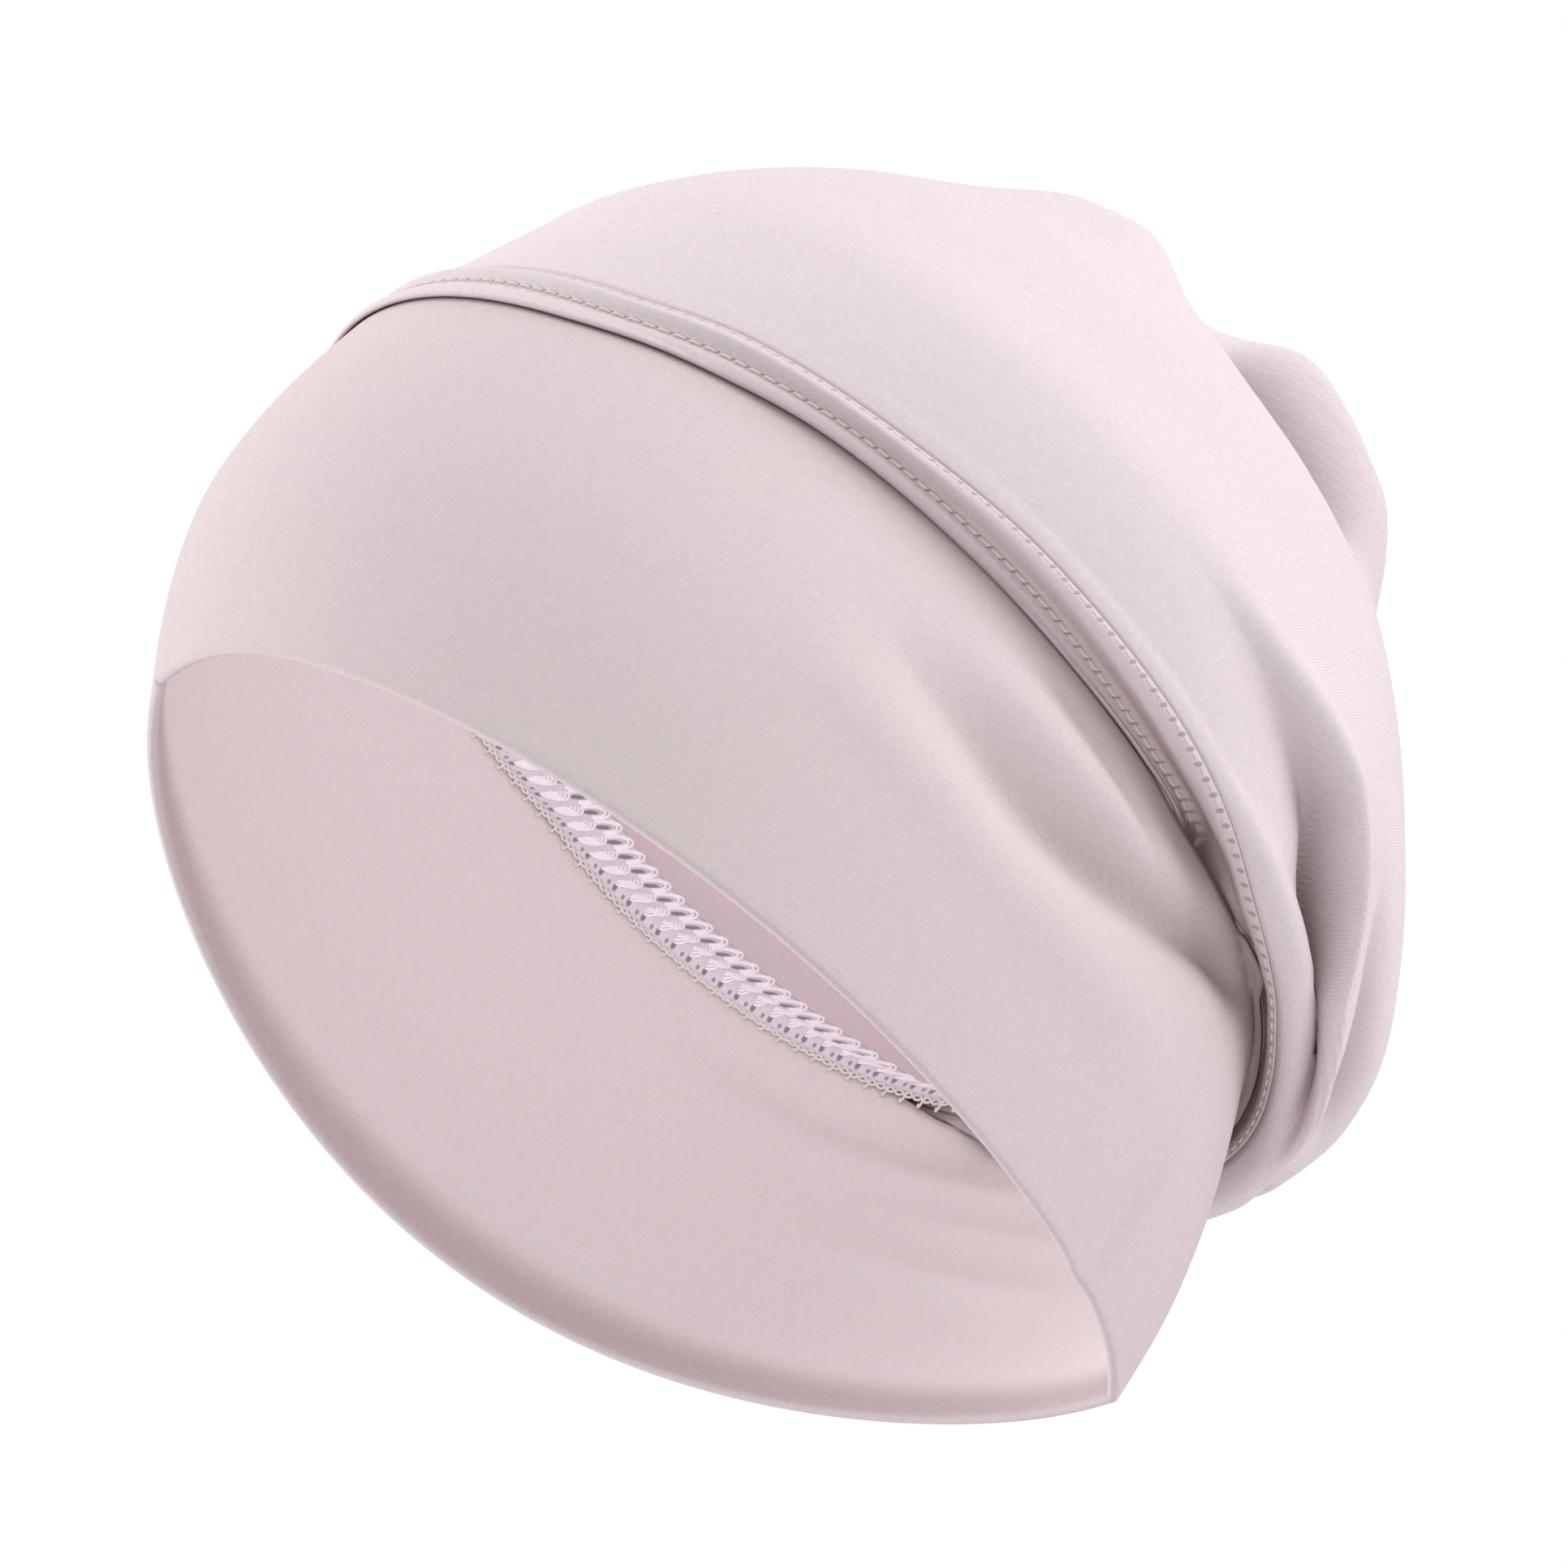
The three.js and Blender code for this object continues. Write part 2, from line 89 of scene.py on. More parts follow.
def through(knots: Sequence[float], values: Sequence[float], x: Array) -> Array:
    """A smooth curve without overshoot through values at rising knots.

    Args:
        knots: The places of the values, rising.
        values: The value at each knot, or a row of values there, one for each x.
        x: Where to read the curve. Outside the knots it keeps its end values.

    Returns:
        The curve's value at each x.
    """
    at = np.asarray(knots, float)
    value = np.asarray(values, float)
    span = np.diff(at)
    rise = (np.diff(value, axis=0).T / span).T
    slope = np.empty_like(value)
    slope[0], slope[-1] = rise[0], rise[-1]
    product = rise[:-1] * rise[1:]
    total = rise[:-1] + rise[1:]
    total = np.where(np.abs(total) < 1e-12, 1.0, total)
    slope[1:-1] = np.where(product > 0.0, 2.0 * product / total, 0.0)
    x = np.clip(x, at[0], at[-1])
    k = np.clip(np.searchsorted(at, x, side="right") - 1, 0, len(span) - 1)
    u = (x - at[k]) / span[k]
    u2, u3 = u * u, u * u * u
    own = (np.arange(len(x)),) if value.ndim == 2 else ()
    low, high = (k, *own), (k + 1, *own)
    return (
        (2 * u3 - 3 * u2 + 1) * value[low]
        + (u3 - 2 * u2 + u) * span[k] * slope[low]
        + (3 * u2 - 2 * u3) * value[high]
        + (u3 - u2) * span[k] * slope[high]
    )


def from_front(angle: Array) -> Array:
    """Degrees from the centre front, 0 to 180, whichever side the angle is on."""
    return np.where(angle <= 180.0, angle, 360.0 - angle)


def unit(vectors: Array) -> Array:
    """The same directions, one long."""
    return vectors / np.maximum(np.linalg.norm(vectors, axis=-1, keepdims=True), 1e-12)


# The cap's form


@dataclass(frozen=True)
class Ring:
    """A sloped, egg-shaped ring round the head.

    Args:
        width: Across.
        length: Front to back along the slope.
        slope: Degrees that it falls towards the nape.
        side_dip: How far its sides hang below its plane.
        egg: How far it is narrower behind (below zero) or in front.
        nape_taper: The share of its width that is lost at the nape.
        back: How far its middle lies behind the origin.
        rise: How far it lies above it.
    """

    width: float
    length: float
    slope: float
    side_dip: float
    egg: float
    nape_taper: float = 0.0
    back: float = 0.0
    rise: float = 0.0

    def point(self, angle: Array) -> Array:
        """The ring's point at each angle."""
        one = np.ones_like(angle)
        return self.section(angle, one, one, 0.0 * one, one)

    def section(self, angle: Array, width: Array, length: Array, slope: Array, dip: Array) -> Array:
        """A ring drawn from this one, in its place.

        Args:
            angle: Degrees round the cap.
            width: Shares of this ring's width.
            length: Shares of its length.
            slope: Degrees of slope that are added.
            dip: Shares of its side dip.

        Returns:
            The points.
        """
        turn = np.radians(angle)
        tilt = np.radians(self.slope + slope)
        narrowing = 1.0 - self.nape_taper * ((1.0 - np.cos(turn)) / 2.0) ** 2
        across = width * self.width / 2 * np.sin(turn + self.egg * np.sin(turn)) * narrowing
        run = -length * self.length / 2 * np.cos(turn)
        lift = -dip * self.side_dip * np.sin(turn) ** 2
        behind = run * np.cos(tilt) + lift * np.sin(tilt) + self.back
        above = -run * np.sin(tilt) + lift * np.cos(tilt) + self.rise
        return np.stack([across, behind, above], axis=-1)


@dataclass(frozen=True)
class Section:
    """One level of the crown, as shares of the crown's sizes.

    Args:
        along: How far along the cloth it lies, from the seam to the top.
        up: Its share of the crown's rise.
        width: Its width, in widths of the seam.
        length: Its length, in lengths of the seam.
        back: Its share of the slouch.
        tilt: Its share of the crown's tilt.
    """

    along: float
    up: float
    width: float
    length: float
    back: float
    tilt: float


@dataclass(frozen=True)
class Fold:
    """A ridge or a valley of the cloth along a line round the cap.

    Args:
        at: Degrees round the cap of the line's places, rising.
        along: The line's distance from the seam at each place, in millimetres.
        width: Half its width there, in millimetres.
        depth: How far it stands out, or in where below zero, in millimetres.
        lean: How far its crest hangs over towards the top, in millimetres.
        fade: Degrees over which its two ends die out.
        steep: How many times narrower its side towards the top is.

    A column with fewer numbers than places runs evenly from its first to its last.
    """

    at: Row
    along: Row
    width: Row
    depth: Row
    lean: Row = (0.0, 0.0)
    fade: tuple[float, float] = (30.0, 16.0)
    steep: Row = (1.0, 1.0)

    def read(self, values: Row, angle: Array) -> Array:
        """A column of the fold at each angle, from its places."""
        at = self.at if len(values) == len(self.at) else (self.at[0], self.at[-1])
        return through(at, values, angle)

    def shift(self, angle: Array, distance: Array) -> tuple[Array, Array]:
        """How far the fold moves the cloth.

        Args:
            angle: Degrees round the cap.
            distance: Distances above the seam, in metres.

        Returns:
            Metres outward, and metres along the cloth towards the top.
        """
        start = ease(0.5 + (angle - self.at[0]) / self.fade[0])
        end = ease(0.5 + (self.at[-1] - angle) / self.fade[1])
        width = self.read(self.width, angle) * MM
        away = (distance - self.read(self.along, angle) * MM) / width
        away = np.where(away > 0.0, away * self.read(self.steep, angle), away)
        sharp = np.where(self.read(self.depth, angle) < 0.0, 1.4, 2.0)
        strength = start * end * np.exp(-np.abs(away) ** sharp) * MM
        return self.read(self.depth, angle) * strength, self.read(self.lean, angle) * strength


CROWN_FOLDS = (
    # left side, out of the gather at the nape: the lowest lobe, the deep valley behind it with
    # its steep far wall, the ridge along that wall, and the valley before the tail
    Fold(
        (118, 127, 134, 140, 146, 152, 160, 170, 180),
        (13, 12.4, 11.8, 11.6, 11.2, 10.4, 9.4, 8.8, 8.4), (6, 4.6, 3.8, 3.6, 3.4, 3.2, 3, 3, 3),
        (0.2, 0.6, 1.1, 1.4, 1.6, 1.8, 1.6, 1.4, 1), lean=(0, 0.3, 0.7, 1, 1.2, 1.2, 1, 0.6, 0.3),
        steep=(1.6, 1.6),
    ),
    Fold(
        (106, 114, 120, 126, 132, 137, 141, 146, 151, 157, 165, 174),
        (33, 32, 31.4, 31.2, 29.6, 23.6, 19.6, 15.8, 12.4, 10.6, 9.6, 9.2),
        (10, 12, 13, 12, 10, 7, 5, 3.4, 2.4, 2, 1.8, 1.6),
        (-0.8, -2, -3.6, -5.6, -8.2, -10, -11, -10.8, -9.6, -8, -6.4, -5), fade=(14, 16),
        steep=(3, 3.2, 3.4, 3.2, 2.7, 2.2, 1.8, 1.3, 1, 1, 1, 1),
    ),
    Fold(
        (108, 117, 124, 131, 137, 141, 146, 152, 160, 168, 176),
        (36, 36.4, 37, 35.6, 29.4, 25.2, 20.2, 15.2, 12.8, 11.6, 11.2),
        (5, 4.6, 4.4, 4.2, 4, 3.8, 3.4, 2.8, 2.2, 2, 1.8),
        (0.6, 1.8, 3, 4.4, 5.4, 5.6, 5.2, 4.8, 4.4, 4, 3.4),
        lean=(0, -0.2, -0.5, -0.8, -1, -1, -0.8, -0.5, -0.2, 0, 0), fade=(14, 16),
    ),
    Fold(
        (126, 136, 141, 145, 151, 160, 168, 176), (57, 50, 44, 38, 31, 25, 21.5, 20),
        (8, 6, 5.2, 4.4, 4.2, 3.8, 3.4, 3.2), (-0.1, -0.3, -0.7, -1.6, -3.4, -5.4, -5.8, -4.6),
        fade=(16, 16),
    ),
    # right side, the same gather
    Fold(
        (186, 210, 238), (11.3, 12.3, 17.4), (4.5, 7.5, 10), (1.8, 3.6, 3.7), lean=(2, 2.5, 2.5),
        fade=(16, 30),
    ),
    Fold((188, 215, 248), (14.2, 18.8, 39.1), (4, 6, 8), (-3.9, -7.5, -9.2), fade=(16, 36)),
    Fold(
        (188, 212, 242), (18.6, 26.1, 50.7), (5, 7, 10), (1.7, 2.4, 3), lean=(-1, -1),
        fade=(16, 34),
    ),
    Fold((188, 208, 232), (23.9, 33.3, 58), (5, 7, 9), (-3, -4, -4.5), fade=(16, 34)),
    # lumps of loose cloth at the top, and the crease before the second
    Fold((46, 66, 84), (121.8, 121, 118.9), (15, 14, 13), (9.8, 9.8), fade=(30, 24)),
    Fold(
        (102, 116, 132, 162), (112, 110, 108, 110), (5.5, 5.5, 6, 9), (8, 12, 11, 5), fade=(18, 26),
        steep=(0.6, 0.6),
    ),
    Fold(
        (100, 109, 121, 136), (104.5, 102.5, 101, 98.5), (3.4, 3.4, 3.4, 5), (-5, -14, -14, -3),
        fade=(10, 14),
    ),
    # the tail under the gather
    Fold((158, 172, 200), (29, 27, 23), (9, 9), (3, 3.2, 3), fade=(22, 22)),
)

# Creases of the band, with distances below the seam.
BAND_FOLDS = (
    # left side: the long valley that climbs into the gather, the ridge above it, and the turn
    # of the cloth over the small notch near the nape
    Fold(
        (90, 100, 108, 120, 133, 146, 154), (-30, -32.5, -33, -27.8, -17.3, -7, -2),
        (9, 9, 9, 8, 7, 5.5, 4.5), (-0.8, -3.4, -5.6, -7.4, -7.2, -5, -2), fade=(16, 12),
    ),
    Fold((98, 112, 126, 140), (-19, -19, -15, -7), (7, 7, 6, 5), (1, 2.8, 3.2, 1.4), fade=(16, 12)),
    Fold(
        (106, 112, 123, 130), (-7, -8, -11.5, -13), (3, 3), (-0.6, -1.4, -1.4, -0.6), fade=(10, 10),
    ),
    Fold((88, 110, 138), (-46, -47, -40), (9, 9), (1.3, 1.4, 1.4), fade=(22, 22)),
    Fold((147, 151), (-62, -60), (24, 24), (-2.2, -2.2), fade=(8, 6)),
    # right side, seen from inside
    Fold((226, 235, 245, 256), (-9.3, -11.3, -13, -13.5), (3.4, 3.4), (1.6, 1.6), fade=(16, 20)),
    Fold((208, 225, 240), (-13, -16.5, -19.3), (3.6, 3.6), (-1.8, -1.8), fade=(20, 20)),
    Fold((205, 218, 232), (-24.8, -25.5, -26.8), (4.4, 4.4), (-2.2, -2.2), fade=(20, 20)),
    Fold((206, 223, 238), (-37.8, -39, -40), (5.2, 5.2), (-2.2, -2.2), fade=(20, 20)),
)


@dataclass(frozen=True)
class EdgeProfile:
    """The stitched edge, across the seam, in millimetres.

    Its heights are stated as if the seam ran straight. The lines say where it really runs.

    Args:
        lip: Degrees from the front, and where the lip's edge lies there.
        low_row: The same for the lower row of stitches.
        high_row: The same for the upper row.
        straight: Where those three lie in a straight seam, and where the shift ends.
        stations: Degrees from the front of the columns of heights.
        distance: Distances above a straight seam of their rows.
        height: Heights over the plain cap.
    """

    lip: tuple[Row, ...] = (
        (0, 20, 45, 60, 78, 96, 113, 121, 126, 130, 134, 139, 145.5, 151, 158, 180),
        (-2, -2.4, -3, -1, 0.9, 0.1, -1.5, -1.7, -1.2, -1.8, -3.4, -6, -4.4, -2.6, -3.4, -2.6),
    )
    low_row: tuple[Row, ...] = (
        (0, 30, 48, 65, 82, 97, 110, 122, 128, 132, 136, 139, 146, 152, 158, 180),
        (2, 1.8, 1.5, 3.2, 4.1, 4, 2.9, 1.6, 1, 0, -2, -3.4, -1.6, 0.2, -0.8, 0.2),
    )
    high_row: tuple[Row, ...] = (
        (0, 48, 62, 80, 97, 112, 124, 138, 150, 158, 168, 180),
        (4.8, 4.8, 6.6, 7.6, 9.1, 9.3, 8.6, 6.7, 5.8, 4.9, 4.5, 4.6),
    )
    straight: Row = (-1, 2.2, 7.2, 26)
    stations: Row = (40, 95, 118, 127, 137, 176)
    distance: Row = (-1, 0.8, 2.2, 3.1, 4.2, 5.6, 6.8, 7.8, 9.5, 12.5)
    height: tuple[Row, ...] = (
        (1.35, 1.4, 1.35, 0.5, -3.2, -2.5),
        (1.55, 1.6, 1.5, 0.7, -3.8, -2.7),
        (1.1, 0.75, 0.4, -0.8, -4.6, -3),
        (1.2, 0.6, 0, -1.3, -4.4, -2.6),
        (1.6, 1.6, 1.4, 0.6, -2.4, -1),
        (1.9, 2.7, 3.2, 3.2, 1.8, 1),
        (1.3, 2.4, 3.3, 4, 4, 2),
        (0.5, 1, 2, 3.2, 3.9, 2),
        (0.25, 0.6, 1.2, 2.4, 3.3, 1.5),
        (0, 0, 0.2, 0.6, 1.2, 0.4),
    )

    def drift(self, angle: Array, distance: Array) -> Array:
        """How far the seam's lines run above their straight places, in metres.

        Args:
            angle: Degrees round the cap.
            distance: Distances above a straight seam, in metres.

        Returns:
            The shifts, in metres.
        """
        across = from_front(angle)
        lines = (self.lip, self.low_row, self.high_row)
        shifts = [through(*line, across) - place for line, place in zip(lines, self.straight)]
        table = np.stack([*shifts, 0.0 * across])
        knots = np.array(self.straight) * MM
        x = np.clip(distance, knots[0], knots[-1])
        k = np.clip(np.searchsorted(knots, x, side="right") - 1, 0, len(knots) - 2)
        u = (x - knots[k]) / (knots[k + 1] - knots[k])
        n = np.arange(len(x))
        return (table[k, n] * (1.0 - u) + table[k + 1, n] * u) * MM

    def real(self, angle: Array, distance: Array) -> Array:
        """Where a straight seam's distance really lies."""
        return distance + self.drift(angle, distance)

    def straightened(self, angle: Array, real: Array) -> Array:
        """The straight seam's distance of a place.

        Args:
            angle: Degrees round the cap.
            real: Real distances above the seam, in metres.

        Returns:
            Distances above a straight seam, in metres.
        """
        guess = real
        for _ in range(6):
            guess = real - self.drift(angle, guess)
        return guess

    def read(self, angle: Array, distance: Array) -> Array:
        """The height at each place, in metres.

        Args:
            angle: Degrees round the cap.
            distance: Distances above a straight seam, in metres.

        Returns:
            Heights over the plain cap, in metres.
        """
        across = from_front(angle)
        rows = np.stack([through(self.stations, row, across) for row in self.height])
        return through(np.array(self.distance) * MM, rows, distance) * MM


@dataclass(frozen=True)
class CapForm:
    """The whole cap's outer form, which every piece follows.

    Args:
        opening: The head opening's ring.
        seam: The seam's ring.
        nape_point: How far the opening's small point at the nape reaches.
        nape_reach: How many degrees wide that point is.
        brow_point: The same at the brow.
        brow_reach: The same at the brow.
        bulge_front: How far the band's middle stands out in front.
        bulge_side: The same at the side.
        bulge_back: The same behind.
        crown_rise: The crown's height above the seam.
        crown_length: The length of its cloth from the seam to the top.
        crown_slouch: How far it slouches back.
        crown_tilt: How many degrees it tips back.
        girth: The length of the cloth round the seam.
        calm_top: The share of the crown's length, at the top, in which the folds die out.
        calm_above: How far above the seam the crown's folds start.
        calm_below: How far below the seam the band's folds start.
        sections: The crown's levels.
        edge: The stitched edge.
    """

    opening: Ring = Ring(167 * MM, 210 * MM, 31.4, 15 * MM, -0.24, 0.5)
    seam: Ring = Ring(145.6 * MM, 218 * MM, 36.6, 0.75 * MM, -0.03, 0.0, 30.4 * MM, 74.3 * MM)
    nape_point: float = 5 * MM
    nape_reach: float = 14.0
    brow_point: float = 2 * MM
    brow_reach: float = 10.0
    bulge_front: float = 8.8 * MM
    bulge_side: float = 6.3 * MM
    bulge_back: float = 4 * MM
    crown_rise: float = 109 * MM
    crown_length: float = 145 * MM
    crown_slouch: float = 12.5 * MM
    crown_tilt: float = 5.2
    girth: float = 576 * MM
    calm_top: float = 0.1
    calm_above: float = 9.2 * MM
    calm_below: float = 8 * MM
    sections: tuple[Section, ...] = (
        Section(0.00, 0.000, 1.000, 1.000, 0.00, 0.00),
        Section(0.09, 0.096, 1.113, 1.050, 0.80, 1.00),
        Section(0.24, 0.284, 1.154, 1.028, 1.00, 0.92),
        Section(0.42, 0.509, 1.065, 0.922, 0.76, 0.69),
        Section(0.62, 0.748, 0.920, 0.734, 0.56, 0.62),
        Section(0.80, 0.922, 0.673, 0.495, 0.32, 0.46),
        Section(0.91, 0.982, 0.343, 0.257, 0.24, 0.19),
        Section(1.00, 1.000, 0.000, 0.000, 0.24, 0.00),
    )
    edge: EdgeProfile = EdgeProfile()

    @cached_property
    def lap(self) -> tuple[Array, Array]:
        """Angles, and how much of the seam's girth lies between the front and each of them.

        Returns:
            The angles, and the shares.
        """
        angle = np.linspace(0.0, 360.0, 1441)
        step = np.linalg.norm(np.diff(self.seam.point(angle), axis=0), axis=-1)
        share = np.r_[0.0, np.cumsum(step)]
        return angle, share / share[-1]

    def arc(self, angle: Array) -> Array:
        """The length of cloth round the seam from the front to each angle."""
        return np.interp(angle, *self.lap) * self.girth

    def angle_at(self, arc: Array) -> Array:
        """The angle at each length of cloth round the seam."""
        known, share = self.lap
        return np.interp(arc / self.girth, share, known)

    def slack(self, distance: Array) -> Array:
        """The plain crown's girth at distances above the seam, as shares of the seam's.

        Args:
            distance: Distances above the seam, in metres.

        Returns:
            The shares.
        """
        turn = np.linspace(0.0, 360.0, 241)
        girth = []
        for share in np.clip(np.r_[0.0, distance] / self.crown_length, 0.0, 1.0):
            ring = self.crown_point(turn, np.full_like(turn, share))
            girth.append(np.linalg.norm(np.diff(ring, axis=0), axis=-1).sum())
        return np.array(girth[1:]) / girth[0]

    def opening_point(self, angle: Array) -> Array:
        """The opening's ring, with its small points at the nape and the brow.

        Args:
            angle: Degrees round the cap.

        Returns:
            The points.
        """
        front = from_front(angle)
        reach = self.nape_point * np.exp((front - 180.0) / self.nape_reach)
        reach = reach - self.brow_point * np.exp(-front / self.brow_reach)
        tilt = math.radians(self.opening.slope)
        along = BACK * math.cos(tilt) - UP * math.sin(tilt)
        return self.opening.point(angle) + reach[..., None] * along

    def band_height(self, angle: Array) -> Array:
        """The height of the band's cloth, from ring to ring."""
        return np.linalg.norm(self.opening_point(angle) - self.seam.point(angle), axis=-1)

    def band_bulge(self, angle: Array) -> Array:
        """How far the band's middle stands out of the straight line between its rings.

        Args:
            angle: Degrees round the cap.

        Returns:
            Metres outward.
        """
        front = (1.0 + np.cos(np.radians(angle))) / 2.0
        side = np.sin(np.radians(angle)) ** 2
        ends = self.bulge_front * front + self.bulge_back * (1.0 - front)
        return ends + (self.bulge_side - (self.bulge_front + self.bulge_back) / 2.0) * side

    def band_point(self, angle: Array, share: Array) -> Array:
        """A point of the plain band, at a share of its height from the opening up.

        Args:
            angle: Degrees round the cap.
            share: Shares of the band's height.

        Returns:
            The points.
        """
        step = 0.5
        low, high = self.opening_point(angle), self.seam.point(angle)
        plain = self.opening.point(angle)
        turn = self.opening.point(angle + step) - plain + self.seam.point(angle + step) - high
        out = unit(np.cross(turn, high - plain))
        swell = (self.band_bulge(angle) * np.sin(np.pi * share))[..., None]
        share = share[..., None]
        return low * (1.0 - share) + high * share + out * swell

    def crown_point(self, angle: Array, share: Array) -> Array:
        """A point of the plain crown, at a share of its length from the seam up.

        Args:
            angle: Degrees round the cap.
            share: Shares of the crown's length.

        Returns:
            The points.
        """
        knots = [row.along for row in self.sections]

        def column(name: str) -> Array:
            """A size of the sections at each share."""
            return through(knots, [getattr(row, name) for row in self.sections], share)

        tilt = math.radians(self.seam.slope)
        up = (column("up") * self.crown_rise)[..., None]
        back = (column("back") * self.crown_slouch)[..., None]
        size = (column("width"), column("length"), column("tilt") * self.crown_tilt)
        ring = self.seam.section(angle, *size, 1.0 - share)
        rise = BACK * math.sin(tilt) + UP * math.cos(tilt)
        slouch = BACK * math.cos(tilt) - UP * math.sin(tilt)
        return ring + rise * up + slouch * back

    def plain(self, angle: Array, distance: Array) -> Array:
        """A point of the plain cap, at a distance along the cloth above the seam.

        Args:
            angle: Degrees round the cap.
            distance: Distances above the seam, in metres.

        Returns:
            The points.
        """
        share = np.clip(1.0 + distance / self.band_height(angle), 0.0, 1.0)
        band = self.band_point(angle, share)
        crown = self.crown_point(angle, np.clip(distance / self.crown_length, 0.0, 1.0))
        return np.where((distance <= 0.0)[..., None], band, crown)

    def directions(self, angle: Array, distance: Array) -> tuple[Array, Array]:
        """The plain cap's outward direction and its direction towards the top.

        Args:
            angle: Degrees round the cap.
            distance: Distances above the seam, in metres.

        Returns:
            Both directions, one long.
        """
        reach = 2.5 * MM
        low = -self.band_height(angle) + reach
        middle = np.clip(distance, low, self.crown_length - reach)
        along = unit(self.plain(angle, middle + reach) - self.plain(angle, middle - reach))
        turn = self.plain(angle + 1.0, middle) - self.plain(angle - 1.0, middle)
        return unit(np.cross(turn, along)), along

    def folds(self, angle: Array, distance: Array) -> tuple[Array, Array]:
        """How far the folds move the cloth outward and towards the top.

        Args:
            angle: Degrees round the cap.
            distance: Distances above the seam, in metres.

        Returns:
            Metres outward, and metres towards the top.
        """
        lift, slide = np.zeros_like(distance), np.zeros_like(distance)
        below = distance < 0.0
        calm_top = ease((1.0 - distance / self.crown_length) / self.calm_top)
        calm_crown = calm_top * ease(distance / self.calm_above)
        calm_band = ease(-distance / self.calm_below)
        crown, band = (CROWN_FOLDS, calm_crown, ~below), (BAND_FOLDS, calm_band, below)
        for table, calm, here in (crown, band):
            for fold in table:
                outward, onward = fold.shift(angle, distance)
                lift = lift + np.where(here, outward * calm, 0.0)
                slide = slide + np.where(here, onward * calm, 0.0)
        return lift, slide

    def surface(self, angle: Array, distance: Array, height: Array) -> Array:
        """The folded cap's outer surface, raised by a height.

        Args:
            angle: Degrees round the cap.
            distance: Distances above the seam, in metres.
            height: Metres outward from the folded surface.

        Returns:
            The points.
        """
        out, along = self.directions(angle, distance)
        lift, slide = self.folds(angle, distance)
        raised = self.plain(angle, distance) + out * (lift + height)[..., None]
        return raised + along * slide[..., None]

    def over_seam(self, angle: Array, distance: Array, lift: Array) -> Array:
        """Points off the stitched edge's height, at distances above the straight seam."""
        height = self.edge.read(angle, distance) + lift
        return self.surface(angle, self.edge.real(angle, distance), height)


# Meshes


def stand(name: str, shape: bpy.types.ID) -> Object:
    """A mesh, curve, lamp or camera as an object of the scene.

    Args:
        name: Its name.
        shape: Its mesh or other data.

    Returns:
        The object.
    """
    thing = bpy.data.objects.new(name, shape)
    bpy.context.scene.collection.objects.link(thing)
    return thing


def column_angle(share: Array) -> Array:
    """The angle of a column, closer together round the back left, where the folds are.

    Args:
        share: How far round each column is, from 0 to 1.

    Returns:
        Degrees round the cap.
    """
    crowding, crowded_at = 0.38, 150.0
    even = share * 360.0
    swing = np.sin(np.radians(even - crowded_at)) + math.sin(math.radians(crowded_at))
    return even - crowding * np.degrees(swing)


def cloth_mesh(name: str, columns: int, rows: int, place: Place, chart: Place) -> Object:
    """A sheet of cloth that runs once round the cap, made from a grid.

    Args:
        name: The piece's name.
        columns: How many faces go round.
        rows: How many go across.
        place: Gives the points for angles and row numbers.
        chart: Gives the knit's own coordinates for them, in metres: the length of cloth from
            the front, the length across, and the whole girth there.

    Returns:
        The piece, closed all round.
    """
    form = bmesh.new()
    layer = form.loops.layers.uv.new("knit")
    bmesh.ops.create_grid(form, x_segments=columns, y_segments=rows, size=0.5, calc_uvs=True)
    share = np.array([vert.co[:2] for vert in form.verts]) + 0.5
    angle = column_angle(share[:, 0])
    row = np.rint(share[:, 1] * rows).astype(int)
    cloth = chart(angle, row)
    form.verts.index_update()
    for face in form.faces:
        right = np.mean([angle[vert.index] for vert in face.verts]) > 180.0
        for loop in face.loops:
            round_it, across, girth = cloth[loop.vert.index]
            loop[layer].uv = (round_it - girth * right, across)
    for vert, point in zip(form.verts, place(angle, row)):
        vert.co = point
    bmesh.ops.remove_doubles(form, verts=form.verts[:], dist=1e-6)
    bmesh.ops.recalc_face_normals(form, faces=form.faces[:])
    for face in form.faces:
        face.smooth = True
    mesh = bpy.data.meshes.new(name)
    form.to_mesh(mesh)
    form.free()
    return stand(name, mesh)


def thread_mesh(name: str, runs: Sequence[Array], thickness: float) -> Object:
    """Many short threads as one piece, each a round tube along its own line.

    Args:
        name: The piece's name.
        runs: The lines, each an array of points.
        thickness: The thread's diameter.

    Returns:
        The piece.
    """
    line = bpy.data.curves.new(name, "CURVE")
    line.dimensions = "3D"
    line.bevel_depth = thickness / 2
    line.bevel_resolution = THREAD_ROUNDNESS
    line.use_fill_caps = True
    for points in runs:
        strand = line.splines.new("POLY")
        if np.linalg.norm(points[0] - points[-1]) < 1e-6:
            points = points[:-1]
            strand.use_cyclic_u = True
        strand.points.add(len(points) - 1)
        strand.points.foreach_set("co", np.c_[points, np.ones(len(points))].ravel())
    drawn = stand(name, line)
    final = drawn.evaluated_get(bpy.context.evaluated_depsgraph_get())
    mesh = bpy.data.meshes.new_from_object(final)
    bpy.data.objects.remove(drawn)
    bpy.data.curves.remove(line)
    mesh.name = name
    mesh.polygons.foreach_set("use_smooth", [True] * len(mesh.polygons))
    return stand(name, mesh)


# Finishes


